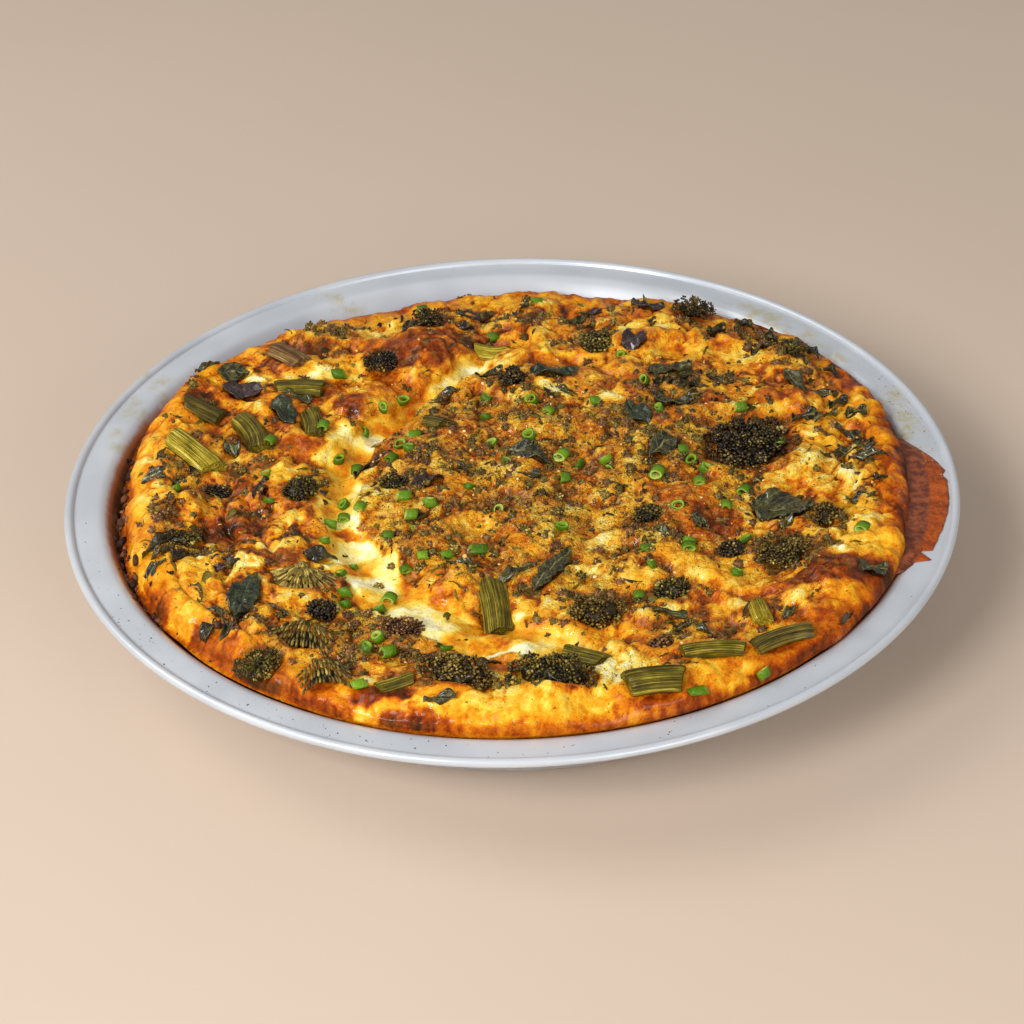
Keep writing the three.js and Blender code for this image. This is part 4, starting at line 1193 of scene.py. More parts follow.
@dataclass(frozen=True)
class Tin:
    """The shallow flared tin with its flat flange and rolled bead."""

    profile: Rows = (
        (0, 0), (60, 0), (104.6, 0), (108.7, 2.7), (115, 11), (122, 20.3), (130.8, 31.8), (132, 33.1),
        (133.6, 33.9), (137, 33.9), (142, 33.9))
    inside: Rows = (
        (141.9, 35.2), (141.75, 34.92), (141.3, 34.86), (140.8, 34.9), (138, 34.96), (136, 34.98),
        (134.4, 35), (133.6, 34.92), (132.9, 34.68), (132.2, 34.3), (131.6, 33.85), (131.1, 33.3),
        (130.5, 32.6), (129.7, 31.6), (127, 28.1), (124, 24.2), (120, 19.1), (114, 11.3), (109.5, 5.5),
        (107.9, 3.4), (106.6, 2.0), (104.6, 1.1), (60, 1.1), (0, 1.1))
    bead: tuple[float, float, float] = (143.25, 34.9, 1.45)
    steps: int = 256
    greases: Rows = (
        (-118, 60, 5, 26, 28, 0.5), (-131, 30, 4, 12, 12, 0.7), (-56, 116, 16, 5, -25, 0.7),
        (95, 95, 22, 7, -46, 0.75), (108, 78, 20, 4, -54, 0.7), (131, 20, 4, 24, -8, 1.0),
        (128, 38, 5, 14, -18, 0.9), (-90, 88, 8, 5, -45, 0.6), (-126, 44, 6, 16, 18, 0.5))

    def soil(self, places: Array) -> Array:
        """How much brown crust and grease lies on each point."""
        x, y, z = places.T
        degrees = np.degrees(np.arctan2(y, x)) % 360
        radius = np.hypot(x, y)
        left = ease(degrees, 146, 168) * ease(degrees, 236, 205)
        wall = ease(z, 35.1, 30.5) * ease(z, 20, 26)
        inside = (radius < inner_wall(z) + 0.5) | (z > 34.2)
        brown = left * wall * (radius < 138) * (z > 20) * inside
        inner = (radius < 134) * ease(z, 33.5, 31) * (z > 15) * inside
        brown = np.maximum(brown, 0.5 * inner * ease(degrees, 20, 0))
        brown = np.maximum(brown, 0.6 * inner * ease(degrees, 240, 330))
        grease = np.zeros(len(x))
        for *oval, strength in self.greases:
            share = strength * ease(from_oval(x, y, oval), 1.2, 0.5)
            grease = np.maximum(grease, share * (z > 30) * inside)
        return np.stack([brown, grease], -1)

    def build(self, finish: Material) -> Object:
        """Spins the outline into the tin."""
        cx, cz, size = self.bead
        turns = np.radians(np.linspace(-130, 168, 18))
        arc = [(cx + size * math.cos(turn), cz + size * math.sin(turn)) for turn in turns]
        shape = bmesh.new()
        verts = [shape.verts.new((r, 0, z)) for r, z in (*self.profile, *arc, *self.inside)]
        edges = [shape.edges.new(pair) for pair in zip(verts, verts[1:])]
        bmesh.ops.spin(shape, geom=verts + edges, axis=(0, 0, 1), cent=(0, 0, 0), steps=self.steps, angle=TAU,
                       use_merge=True)
        bmesh.ops.remove_doubles(shape, verts=shape.verts[:], dist=0.001)
        mesh, places = closed_mesh("tin_shell", shape)
        add_marks(mesh, "soil", self.soil(places))
        return Piece("tin_shell", "coated_tin", ("tin",), 50).place(mesh, finish)


def add_tuft(heap: Heap, middle: Array, outward: Array, radius: float, bud: float,
             random: Generator) -> None:
    """Adds one curd of buds, whose shapes are the heap's second and third.

    Args:
        heap: where the buds go.
        middle: the curd's middle.
        outward: its unit direction.
        radius: its radius.
        bud: the radius of a bud.
        random: the source of chance.
    """
    count = max(6, int(6.2 * (radius / (2 * bud)) ** 2))
    share, angle = spiral(count, random.uniform(0, TAU))
    level = np.clip(1 - 1.05 * share + random.normal(scale=0.06, size=count), -0.2, 1)
    normals = on_ball(level, angle) @ frames_on(outward[None], np.zeros(1))[0].T
    reach = radius * random.uniform(0.66, 1.2, (count, 1))
    width = bud * random.uniform(0.6, 1.05, count)
    sizes = np.stack([width, 0.8 * width, width * random.uniform(0.9, 1.7, count)], -1)
    lean = unit(normals + random.normal(scale=0.4, size=normals.shape))
    # Tones rise towards each curd's top, painted shade at its base and painted highlight at its tips, and a
    # random few buds get painted glints
    tones = random.normal(scale=0.17) + 0.38 * np.clip(level, 0, 1) + 0.12 * random.normal(size=count)
    tones += 0.28 * random.uniform(size=count) * (random.uniform(size=count) > 0.7)
    kinds = random.integers(1, 3, count)
    frames = frames_on(lean, random.uniform(0, TAU, count))
    heap.add(kinds, middle + normals * reach, frames, sizes, np.clip(tones, 0, 1))


class HeadForm(Enum):
    """How a broccoli head lies: its crown up, sprigs that stand apart, a fan or a comb of ribs."""

    CROWN = "crown"
    SPRIGS = "sprigs"
    FAN = "fan"
    COMB = "comb"


@dataclass(frozen=True)
class BroccoliHead:
    """One broccoli head: a dark core under small curds, each of which is a tuft of buds."""

    name: str
    x: float
    y: float
    turn: float
    length: float
    width: float
    height: float
    kind: BudKind
    form: HeadForm = HeadForm.CROWN
    bud: float = 0.6
    curd: float = 3.7

    def footprint(self) -> tuple[float, ...]:
        """The oval that it covers."""
        return (self.x, self.y, self.length / 2, self.width / 2, self.turn)

    def size(self) -> Array:
        """Half its length, half its width and its height."""
        return np.array([self.length / 2, self.width / 2, self.height])

    def swollen(self, places: Array) -> Array:
        """Swells points as the outline of the head's solid does."""
        x, y = TAU * places[:, 0] / 5.2 + self.x, TAU * places[:, 1] / 5.2 + self.y
        return places * (1 + 0.15 * (np.sin(x) * np.sin(y) + 0.5 * np.sin(x + y)))[:, None]

    def core(self) -> Prototype:
        """The dome under the curds, in its own place and unturned."""
        shape = bmesh.new()
        bmesh.ops.create_icosphere(shape, subdivisions=4, radius=1)
        ball = places_of(shape)
        local = ball * self.size() * 0.66
        local[:, 2] *= np.where(ball[:, 2] < 0, 0.45, 1)
        local = self.swollen(local)
        local += 0.9 * ball * Grain(round(self.x) + 900).layered(local, 2.6, 2)[:, None]
        move_points(shape, local)
        return Prototype.from_shape(shape)

    def crown(self, heap: Heap, random: Generator) -> None:
        """Covers the dome with curds."""
        size = self.size()
        steep = 2 * self.height / (size[0] + size[1])
        count = max(5, int(math.pi * size[0] * size[1] * (1 + 0.5 * steep**2) / self.curd**2 * 1.05))
        share, angle = spiral(count, self.x)
        flat = np.stack(polar(np.sqrt(share), angle), -1)
        flat += random.normal(scale=0.2 * self.curd, size=flat.shape) / size[:2]
        reach = np.clip(np.linalg.norm(flat, axis=1), 1e-6, None)
        flat *= (np.minimum(reach, 1) / reach)[:, None]
        dome = np.concatenate([flat, np.sqrt(1.003 - np.minimum(reach, 1) ** 2)[:, None]], -1)
        middles = dome * (size - 0.42 * self.curd)
        middles[:, 2] += random.uniform(-0.9, 0.5, count)
        ring = np.linspace(0, TAU, max(6, int((size[0] + size[1]) * math.pi / self.curd)), endpoint=False)
        skirt = np.stack([*polar(1, ring), np.full(len(ring), 0.12)], -1)
        low = self.swollen(skirt * (size - 0.36 * self.curd))
        low[:, 2] += random.uniform(-0.3, 1.0, len(ring))
        middles = np.concatenate([self.swollen(middles), low])
        for middle, way in zip(middles, np.concatenate([unit(dome / size), skirt])):
            add_tuft(heap, middle, way, self.curd * random.uniform(0.26, 0.64), self.bud, random)

    def sprigs(self, heap: Heap, random: Generator) -> None:
        """Stands short stems apart from each other, each with a knob of buds."""
        count = int(self.length * self.width / 7)
        share, angle = spiral(count, self.x)
        level = np.clip(1 - 0.95 * share + random.normal(scale=0.08, size=count), 0.02, 1)
        ends = on_ball(level, angle) * self.size() * random.uniform(0.62, 0.9, (count, 1))
        length = np.linalg.norm(ends, axis=1)
        ways = ends / length[:, None]
        frames = frames_on(ways, np.zeros(count))[:, :, [2, 0, 1]]
        thick = np.full(count, 4.2)
        heap.add(3 + np.arange(count) % 3, np.zeros((count, 3)), frames, np.stack([length, thick, thick], -1),
                 np.full(count, 0.35))
        for end, way in zip(ends, ways):
            add_tuft(heap, end, way, random.uniform(0.8, 1.5), 0.44, random)

    def fan(self, heap: Heap, random: Generator) -> None:
        """Spreads bent ribs from the stem's side, with small buds at their ends."""
        for row in range(4):
            count = int(self.length * (0.9 + 0.35 * row))
            share = np.linspace(-1, 1, count) + random.normal(scale=0.02, size=count)
            angle = np.radians(90 + 72 * share)
            reach = self.width * (0.3 + 0.16 * row) * random.uniform(0.85, 1.1, count)
            inner = self.width * 0.1 * row
            start = np.stack([share * self.length * 0.12 + inner * np.cos(angle),
                              inner * np.sin(angle) - self.width * 0.42,
                              self.height * (0.95 - 0.14 * row) * (1 - 0.3 * share**2)], -1)
            frames = np.stack([turn_about_z(math.degrees(a)) for a in angle])
            sizes = np.stack([reach, np.full(count, 3.6), np.full(count, 3.2)], -1)
            tones = 0.42 + 0.2 * random.normal(size=count)
            heap.add(3 + np.arange(count) % 3, start, frames, sizes, np.clip(tones, 0, 1))
            ends = start + frames[:, :, 0] * reach[:, None]
            upward = np.array([0, 0, 1.0])
            for end in ends[::2]:
                add_tuft(heap, end - 0.3 * upward, upward, random.uniform(0.5, 0.9), 0.4, random)

    def comb(self, heap: Heap, random: Generator) -> None:
        """Lays rows of thick curled ribs side by side, each row lower than the one behind it."""
        for row, (level, droop) in enumerate(((0.8, -10), (0.95, 5), (0.85, 28), (0.55, 48))):
            count = int(self.length)
            share = np.linspace(-1, 1, count)
            arc = -0.35 * self.width * share**2
            start = np.stack([share * self.length * 0.46, arc + self.width * (0.42 - 0.2 * row),
                              self.height * level * (1 - 0.4 * share**2)], -1)
            down = np.array(Matrix.Rotation(math.radians(droop), 3, "Y"))
            ways = 40 * share - 90 + random.normal(scale=7, size=count)
            frames = np.stack([turn_about_z(way) @ down for way in ways])
            reach = self.width * random.uniform(0.24, 0.32, count)
            sizes = np.stack([reach, np.full(count, 3.2), np.full(count, 4.6)], -1)
            tones = 0.26 + 0.2 * random.normal(size=count)
            heap.add(3 + np.arange(count) % 3, start, frames, sizes, np.clip(tones, 0, 1))

    def build(self, top: BakedTop, finish: Material) -> Object:
        """Builds the head with its buds as one piece.

        Args:
            top: the bake that it sits on.
            finish: the buds' material.

        Returns:
            The piece.
        """
        random = default_rng(abs(int(self.x * 131 + self.y * 17)) + 5)
        heap = Heap([self.core(), Prototype.crumb(1, 0.12), Prototype.crumb(2, 0.2),
                     Prototype.rib(1), Prototype.rib(2), Prototype.rib(3)])
        part = {HeadForm.CROWN: 1.0, HeadForm.SPRIGS: 0.7}.get(self.form, 0.8)
        # The core takes the darkest bud tone, so the gaps between curds show it as painted shade
        heap.add(np.zeros(1), np.zeros((1, 3)), np.eye(3)[None], np.full((1, 3), part), np.array([0.02]))
        getattr(self, self.form.value)(heap, random)
        mesh = heap.mesh(self.name)
        highest = max(float(points[:, 2].max()) for points in heap.points)
        low = Matrix.Diagonal((1, 1, min(1, self.height / highest), 1))
        base = Vector((self.x, self.y, float(top.height(self.x, self.y))))
        mesh.transform(Matrix.Translation(base) @ Matrix.Rotation(math.radians(self.turn), 4, "Z") @ low)
        return Piece(f"{self.name}_buds", "broccoli_head", (self.name,)).place(mesh, finish)


@dataclass(frozen=True)
class CutStalk:
    """One cut stalk: a ridged rod with slanted ends."""

    name: str
    x: float
    y: float
    turn: float
    length: float
    width: float
    thick: float
    bow: float
    kind: StalkKind
    loops: int = 16
    sides: int = 30
    slant: float = 0.3
    sunk: float = 0.25

    def footprint(self) -> tuple[float, ...]:
        """The oval that it covers."""
        return (self.x, self.y, self.length * 0.54, self.width * 0.56, self.turn)

    def rod(self) -> BMesh:
        """A plain rod of unit size along Z, with loops along it and inset ends."""
        shape = bmesh.new()
        bmesh.ops.create_cone(shape, cap_ends=True, segments=self.sides, radius1=1, radius2=1, depth=1)
        for step in range(1, self.loops):
            everything = shape.verts[:] + shape.edges[:] + shape.faces[:]
            bmesh.ops.bisect_plane(shape, geom=everything, plane_co=(0, 0, step / self.loops - 0.5),
                                   plane_no=(0, 0, 1))
        for thickness in (0.12, 0.3, 0.3):
            shape.faces.ensure_lookup_table()
            caps = [face for face in shape.faces if abs(face.normal.z) > 0.9 and len(face.verts) > 4]
            bmesh.ops.inset_individual(shape, faces=caps, thickness=thickness)
        return shape

    def build(self, top: BakedTop, finish: Material) -> Object:
        """Shapes the rod and lays it on the bake.

        Args:
            top: the bake that it lies on.
            finish: the stalk's material.

        Returns:
            The piece.
        """
        shape = self.rod()
        x, y, z = places_of(shape).T
        angle, reach = np.arctan2(y, x), np.hypot(x, y)
        side = 2 * z
        grain = Grain(abs(round(self.x)) + 50)
        round_about = np.stack([np.cos(angle) * 2, np.sin(angle) * 2, z * 1.2], -1)
        ridge = 1 + 0.06 * np.sin(5 * angle + self.x) + 0.04 * np.sin(11 * angle + self.y)
        ridge += 0.09 * grain.layered(round_about, 1.1)
        inside = ease(reach, 0.98, 0.6)
        rounding = 1 - 0.1 * ease(np.abs(side), 0.85, 1) * (reach > 0.99)
        dent = (0.35 + 0.4 * grain.soft(np.stack([x, y], -1) * 3, 1.0)) * inside * (np.abs(side) > 0.99)
        along = z * self.length - np.sign(side) * dent
        across = x * ridge * rounding * self.width / 2 + self.bow * (1 - side**2)
        up = (y * ridge * rounding + self.sunk) * self.thick / 2
        end = along + self.slant * across * side * (np.abs(side) > 0.5) * (2 * np.abs(side) - 1)
        there_x, there_y = turned(np.array([-0.5, 0, 0.5]) * self.length, np.zeros(3), -self.turn)
        back, middle, front = top.height(self.x + there_x, self.y + there_y)
        lie = middle + (front - back) * z + (back + front - 2 * middle) * z * z
        at_x, at_y = turned(end, across, -self.turn)
        move_points(shape, np.stack([self.x + at_x, self.y + at_y, lie + up], -1))
        mesh, _ = closed_mesh(self.name, shape)
        add_vectors(mesh, "fibre", np.stack([along + 3 * self.x, x * self.width / 2, y * self.thick / 2], -1))
        return Piece(f"{self.name}_fibres", "broccoli_stalk", (self.name,), 55).place(mesh, finish)


@dataclass(frozen=True)
class Leaf:
    """One wilted leaf: a thin wavy sheet."""

    name: str
    x: float
    y: float
    turn: float
    length: float
    width: float
    waves: float
    kind: LeafKind
    bend: float = 0.0
    lift: float = 0.6
    curl: float = 1.3
    sheet: float = 0.55
    blunt: float = 0.12

    def footprint(self) -> tuple[float, ...]:
        """The oval that it covers."""
        return (self.x, self.y, self.length * 0.48, self.width * 0.42, self.turn)

    def mesh(self, top: BakedTop) -> Mesh:
        """Shapes the sheet over the bake.

        Args:
            top: the bake that it lies on.

        Returns:
            The sheet, in millimetres.
        """
        shape = grid(max(10, round(self.length * 2.2)), max(6, round(self.width * 2.2)), 0.5)
        u, v, _ = places_of(shape).T
        share, edge = u + 0.5, 2 * v
        grain = Grain(abs(round(self.x * 3)) + 70)
        outline = self.blunt + (1 - self.blunt) * np.sin(math.pi * share**0.85)
        rim = np.stack([share * self.length, 3 * np.sign(edge)], -1)
        outline *= 1 + 0.18 * grain.soft(rim, 2.6) + 0.09 * grain.soft(rim, 1.1)
        outline *= np.sqrt(np.clip(1 - (2 * np.abs(share - 0.5)) ** 14, 0.02, 1))
        along = (share - 0.5) * self.length
        across = edge * outline * self.width / 2
        side = across + self.bend * (0.25 - (share - 0.5) ** 2) * self.length
        x, y = turned(along, side, -self.turn)
        x, y = self.x + x, self.y + y
        inside = np.minimum(1, (top.edge(np.arctan2(y, x)) - 1.2) / np.hypot(x, y))
        x, y = x * inside, y * inside
        wave = np.sin(share * 9 + self.x) * np.cos(across / self.width * 7 + self.y)
        crinkle = np.abs(grain.layered(np.stack([along, across], -1), 5.0))
        up = top.height(x, y) + self.lift + self.waves * (1 + wave) * 0.5
        up += 2.4 * crinkle - 0.2 - 0.45 * np.exp(-((across / 0.6) ** 2))
        up -= 0.5 * ease(np.abs(edge), 0.8, 1)
        up += self.curl * np.abs(edge) ** 3 * (0.6 + np.sin(share * 7 + self.y + np.sign(edge)))
        move_points(shape, np.stack([x, y, up], -1))
        low = bmesh.ops.extrude_face_region(shape, geom=shape.faces[:], use_keep_orig=True)["geom"]
        for vertex in points_among(low):
            vertex.co.z -= self.sheet
        mesh, places = closed_mesh(self.name, shape)
        at_x, at_y = turned(places[:, 0] - self.x, places[:, 1] - self.y, self.turn)
        at_y = at_y - self.bend * (0.25 - (at_x / self.length) ** 2) * self.length
        add_vectors(mesh, "blade", np.stack([at_x, at_y, at_y / self.width], -1))
        return mesh

    def build(self, top: BakedTop, finish: Material) -> Object:
        """Lays the sheet on the bake as a piece."""
        return Piece(f"{self.name}_blade", "baked_leaf", (self.name,)).place(self.mesh(top), finish)


class Ground:
    """Finds the dressed surface under any point of the plane."""

    def __init__(self, pieces: Iterable[Object]) -> None:
        """Joins the pieces' faces into one tree."""
        points: list[Array] = []
        faces: list[tuple[int, ...]] = []
        count = 0
        for piece in pieces:
            mesh = piece.data
            flat = np.empty(len(mesh.vertices) * 3, np.float32)
            mesh.vertices.foreach_get("co", flat)
            points.append(flat.reshape(-1, 3) / MM)
            faces += (tuple(i + count for i in face.vertices) for face in mesh.polygons)
            count += len(mesh.vertices)
        self.tree = BVHTree.FromPolygons(np.concatenate(points).tolist(), faces)

    def drop(self, x: Array, y: Array) -> Pair:
        """Drops points on to the surface.

        Args:
            x, y: the points.

        Returns:
            Where each lands and the normal there.
        """
        places = np.zeros((len(x), 3))
        normals = np.tile([0.0, 0, 1], (len(x), 1))
        for i, (px, py) in enumerate(zip(x.tolist(), y.tolist())):
            place, normal, _, _ = self.tree.ray_cast((px, py, 80), (0, 0, -1))
            if place:
                places[i] = place
                normals[i] = normal if normal.z > 0 else -normal
        return places, normals


@dataclass(frozen=True)
class ChiveSlices:
    """Slices of chive: standing rings at x and y, and barrels that lie a given way, in degrees."""

    rings: Rows = (
        (1.5, 0.55, 0.12), (1.25, 0.75, -0.1), (1.0, 0.95, 0.06), (1.3, 0.65, -0.16), (0.7, 1.15, 0.1))
    standing: Rows = (
        (-36, 44.5), (-42.5, 38), (-8, 46), (39.5, 67.5), (46, 48.5), (-8, 30.5), (-6, 16), (6.5, 18),
        (7.5, 36), (50, 30.5), (-1.5, 1), (22.5, 4.5), (31, 4), (32, -1.5), (-13.5, -11), (-49, 30),
        (-36.5, 15.5), (-33, 10), (-56.5, 13), (-54, -13.5), (-58, -25), (-59, -38), (-50.5, -45),
        (-79, -2), (-77.5, -16), (-107.5, -13.5), (-26, -21), (-30.5, -31.5), (-4.5, -22.5), (15.5, -35),
        (-53.5, -52), (-52, -63.5), (-51.5, -69.5), (-41, -71.5), (-41, -89), (-44.5, -93.5), (-20.5, -94),
        (72.4, -109.3), (58.5, 0), (63, -4.5), (52.5, -28), (55, -43), (73, -40), (42.5, -58.5),
        (68.5, -60), (88, 10.4))
    lying: Rows = (
        (-30, 108, 10), (11, 108, 0), (-58, 58, 0), (13, 32, 50), (29, 38.5, 0), (16.5, 5, 60),
        (17, -9.5, 10), (-32, 20.5, 0), (-39, 8, 60), (-50.5, 5.5, 90), (-54, -20, 90), (-48.5, -19.5, 70),
        (-34.5, -16.5, 0), (-32, -26.5, 0), (-39, -35.5, 0), (-28, -47.5, 0), (-33.5, -50, 110),
        (-20.5, -46.5, 20), (-11, -45, 0), (-38.5, -63.5, 70), (-38, -95, 20), (-45.5, -114, 20),
        (52.4, -120, 10), (47, -8.5, 70), (56.5, 6, 0), (60, -15.5, 90), (74.5, -15, 60), (77, 31, 0),
        (68, -25, 80), (54.5, -48.5, 90), (41.5, -48.5, 0), (37.8, -71, 90), (109, -42, 60), (-62, 25, 80),
        (-79, 16.5, 60), (-5, 86, 20))
    long_ones: Rows = (
        (-11, -45), (74.5, -15), (47, -8.5), (-45.5, -114), (52.4, -120))
    bright_ones: Rows = (
        (-32, -26.5), (-28, -47.5), (-4.5, -22.5), (31, 4), (-45.5, -114), (16.5, 5), (60, -15.5),
        (88, 10.4))

    def build(self, ground: Ground, finish: Material) -> Object:
        """Places every slice on the dressed surface.

        Args:
            ground: the surface.
            finish: the chives' material.

        Returns:
            The piece.
        """
        random = default_rng(8)
        heap = Heap([Prototype.ring(*sizes) for sizes in self.rings])
        spots = [(*spot, None) for spot in self.standing] + list(self.lying)
        places, _ = ground.drop(*np.array([spot[:2] for spot in spots]).T)
        frames, sizes, tones, kinds = [], [], [], []
        for i, (x, y, way) in enumerate(spots):
            length = random.uniform(2.6, 4.4) * (1.3 if (x, y) in self.long_ones else 1)
            squash = random.uniform(0.5, 0.95)
            if way is None:
                tip, lean = np.radians([30 * math.sin(x), 30 * math.sin(y)])
                frame = Matrix.Rotation(tip, 3, "X") @ Matrix.Rotation(lean, 3, "Y")
                frame = frame @ Matrix.Rotation(random.uniform(0, TAU), 3, "Z")
                places[i, 2] += 0.5
                kinds.append(random.choice([0, 1, 3, 2]))
                length = random.uniform(1.7, 3.3)
            else:
                frame = Matrix.Rotation(math.radians(way), 3, "Z") @ Matrix.Rotation(math.pi / 2, 3, "Y")
                places[i, 2] += 0.8
                kinds.append(random.choice([1, 2, 4]))
            sizes.append((1.06 * squash, 1.06, length))
            frames.append(np.array(frame))
            tones.append(random.uniform(0.22, 0.5) + (0.22 if (x, y) in self.bright_ones else 0))
        heap.add(np.array(kinds), places, np.array(frames), np.array(sizes), np.array(tones))
        return Piece("chive_slices", "baked_egg", ("custard",)).place(heap.mesh("chive_slices"), finish)


@dataclass(frozen=True)
class Scatter:
    """Strews small pieces over the surface, denser where a map says so."""

    name: str
    slot: str
    count: int
    low: float
    high: float
    seed: int
    tone: float = 0.4
    spread: float = 0.22
    flat: float = 0.6
    lift: float = 0.2

    def build(self, shapes: Sequence[Prototype], x: Array, y: Array, ground: Ground,
              finish: Material) -> Object:
        """Strews copies of the shapes over points.

        Args:
            shapes: the shapes to copy.
            x, y: where they fall.
            ground: the surface.
            finish: their material.

        Returns:
            The piece.
        """
        random = default_rng(self.seed + 100)
        places, normals = ground.drop(x, y)
        normals = unit(normals + random.normal(scale=0.25, size=normals.shape))
        count = len(x)
        width = self.low + (self.high - self.low) * random.uniform(size=count) ** 2
        sizes = width[:, None] * np.stack([random.uniform(0.7, 1.5, count), random.uniform(0.6, 1.1, count),
                                           np.full(count, self.flat)], -1)
        frames = frames_on(normals, random.uniform(0, TAU, count))
        tones = np.clip(self.tone + self.spread * random.normal(size=count), 0, 1)
        places += normals * (self.lift * width * self.flat)[:, None]
        heap = Heap(shapes)
        heap.add(random.integers(0, len(shapes), count), places, frames, sizes, tones)
        return Piece(self.name, self.slot).place(heap.mesh(self.name), finish)

    def points(self, egg: BakedEgg, weight: Callable[[Surface], Array], reach: float = 122) -> Pair:
        """Picks points of the bake by a weight.

        Args:
            egg: the bake.
            weight: turns a surface into the chance that a point is kept.
            reach: how far out they may lie.

        Returns:
            Their x and y.
        """
        random = default_rng(self.seed)
        kept, found = [], 0
        while found < self.count:
            angle = random.uniform(0, TAU, 6000)
            x, y = polar(reach * np.sqrt(random.uniform(0, 1, 6000)), angle)
            keep = random.uniform(size=6000) < weight(egg.read(x, y))
            kept.append((x[keep], y[keep]))
            found += int(keep.sum())
        return tuple(np.concatenate(kept, axis=1)[:, : self.count])

    def ring(self, centre: float, spread: float, edge: Callable[[Array], Array] | None = None) -> Pair:
        """Picks points of the gap outside an edge, or without one of the flat flange.

        Args:
            centre, spread: the azimuth that they gather round, and how widely, in degrees.
            edge: gives the edge's radius at an azimuth.

        Returns:
            Their x and y.
        """
        random = default_rng(self.seed)
        azimuth = np.radians(random.normal(centre, spread, self.count))
        if edge:
            radius = edge(azimuth) + random.normal(1.9, 1.1, self.count)
        else:
            radius = random.uniform(134.5, 141, self.count)
        return polar(radius, azimuth)

    def knots(self, egg: BakedEgg, weight: Callable[[Surface], Array], ground: Ground,
              finish: Material) -> Object:
        """Strews knots of buds, pressed into the surface, as points() picks their places.

        Args:
            egg: the bake.
            weight: turns a surface into the chance that a point is kept.
            ground: the surface.
            finish: their material.

        Returns:
            The piece.
        """
        random = default_rng(self.seed + 50)
        places, normals = ground.drop(*self.points(egg, weight))
        heap = Heap([Prototype.crumb(seed, 0.15) for seed in (15, 16, 17)])
        for place, normal in zip(places, normals):
            radius = self.low + (self.high - self.low) * random.uniform() ** 1.5
            heap.add(np.array([0]), place[None] - 0.4 * radius * normal, frames_on(normal[None], np.ones(1)),
                     0.9 * radius * np.ones((1, 3)), random.uniform(0.1, 0.5, 1))
            add_tuft(heap, place - 0.3 * radius * normal, normal, 0.85 * radius, 0.5, random)
        return Piece(self.name, self.slot).place(heap.mesh(self.name), finish)


HEADS: tuple[BroccoliHead, ...] = tuple(BroccoliHead(f"floret_{name}", *rest) for name, *rest in (
    ("right_large", 79, 10.5, 5, 33, 27, 8, BudKind.BLACK, HeadForm.CROWN, 0.66, 4.2),
    ("front_large", 10, -112.5, -8, 25, 15, 7.5, BudKind.GREEN),
    ("front_left", -17.5, -110, -18, 23, 13.5, 5.5, BudKind.OLIVE),
    ("left_front", -75.5, -102, 40, 18, 13, 5, BudKind.GREEN, HeadForm.SPRIGS),
    ("middle_front", 25, -78.5, 4, 17, 13, 5, BudKind.OLIVE),
    ("right_middle", 84.5, -49.5, 10, 18, 15, 4, BudKind.OLIVE),
    ("back_left", -28, 93, -25, 13, 11, 6, BudKind.BLACK, HeadForm.SPRIGS),
    ("back_edge", 66, 98, -20, 18, 10, 7, BudKind.BLACK, HeadForm.SPRIGS),
    ("back_middle", 31, 77, 70, 14, 11, 4, BudKind.GREEN),
    ("back_small", 1, 53.5, 0, 10, 9, 4, BudKind.BLACK),
    ("left_middle", -68, -11.5, 60, 13, 10, 6, BudKind.GREEN),
    ("left_small", -94, -8, 0, 10, 8, 4, BudKind.BLACK),
    ("left_flat", -104.5, -37, -5, 15, 8, 3, BudKind.GREEN),
    ("hollow_side", -37.5, -7, 0, 9, 8, 4, BudKind.GREEN, HeadForm.CROWN, 0.55),
    ("upper_left", -43.5, 65, 0, 11, 10, 4, BudKind.BLACK),
    ("right_front", 48, -70, 0, 11, 9, 4.5, BudKind.GREEN),
    ("centre_right", 43, -29, 10, 10, 8, 3.5, BudKind.GREEN),
    ("purple", -34, -84, -10, 12, 8, 4, BudKind.BROWN),
    ("front_dark", -58, -74, 0, 9, 8, 4, BudKind.BLACK),
    ("right_small", 68, -49, 0, 8, 7, 4, BudKind.BLACK),
    ("far_right", 98.5, -33, 80, 10, 7, 4, BudKind.OLIVE),
    ("back_right", 98, 65, -35, 12, 9, 4, BudKind.GREEN, HeadForm.SPRIGS),
    ("brown", 43, -96.5, 10, 9, 7, 3.5, BudKind.BROWN),
    ("fan", -66, -57, 170, 16.5, 14, 4.4, BudKind.OLIVE, HeadForm.FAN),
    ("curl", -63, -89, -15, 17, 11, 5, BudKind.GREEN, HeadForm.COMB),
    ("curl_front", -56.5, -110, 15, 13, 9.5, 4.5, BudKind.GREEN, HeadForm.COMB),
))

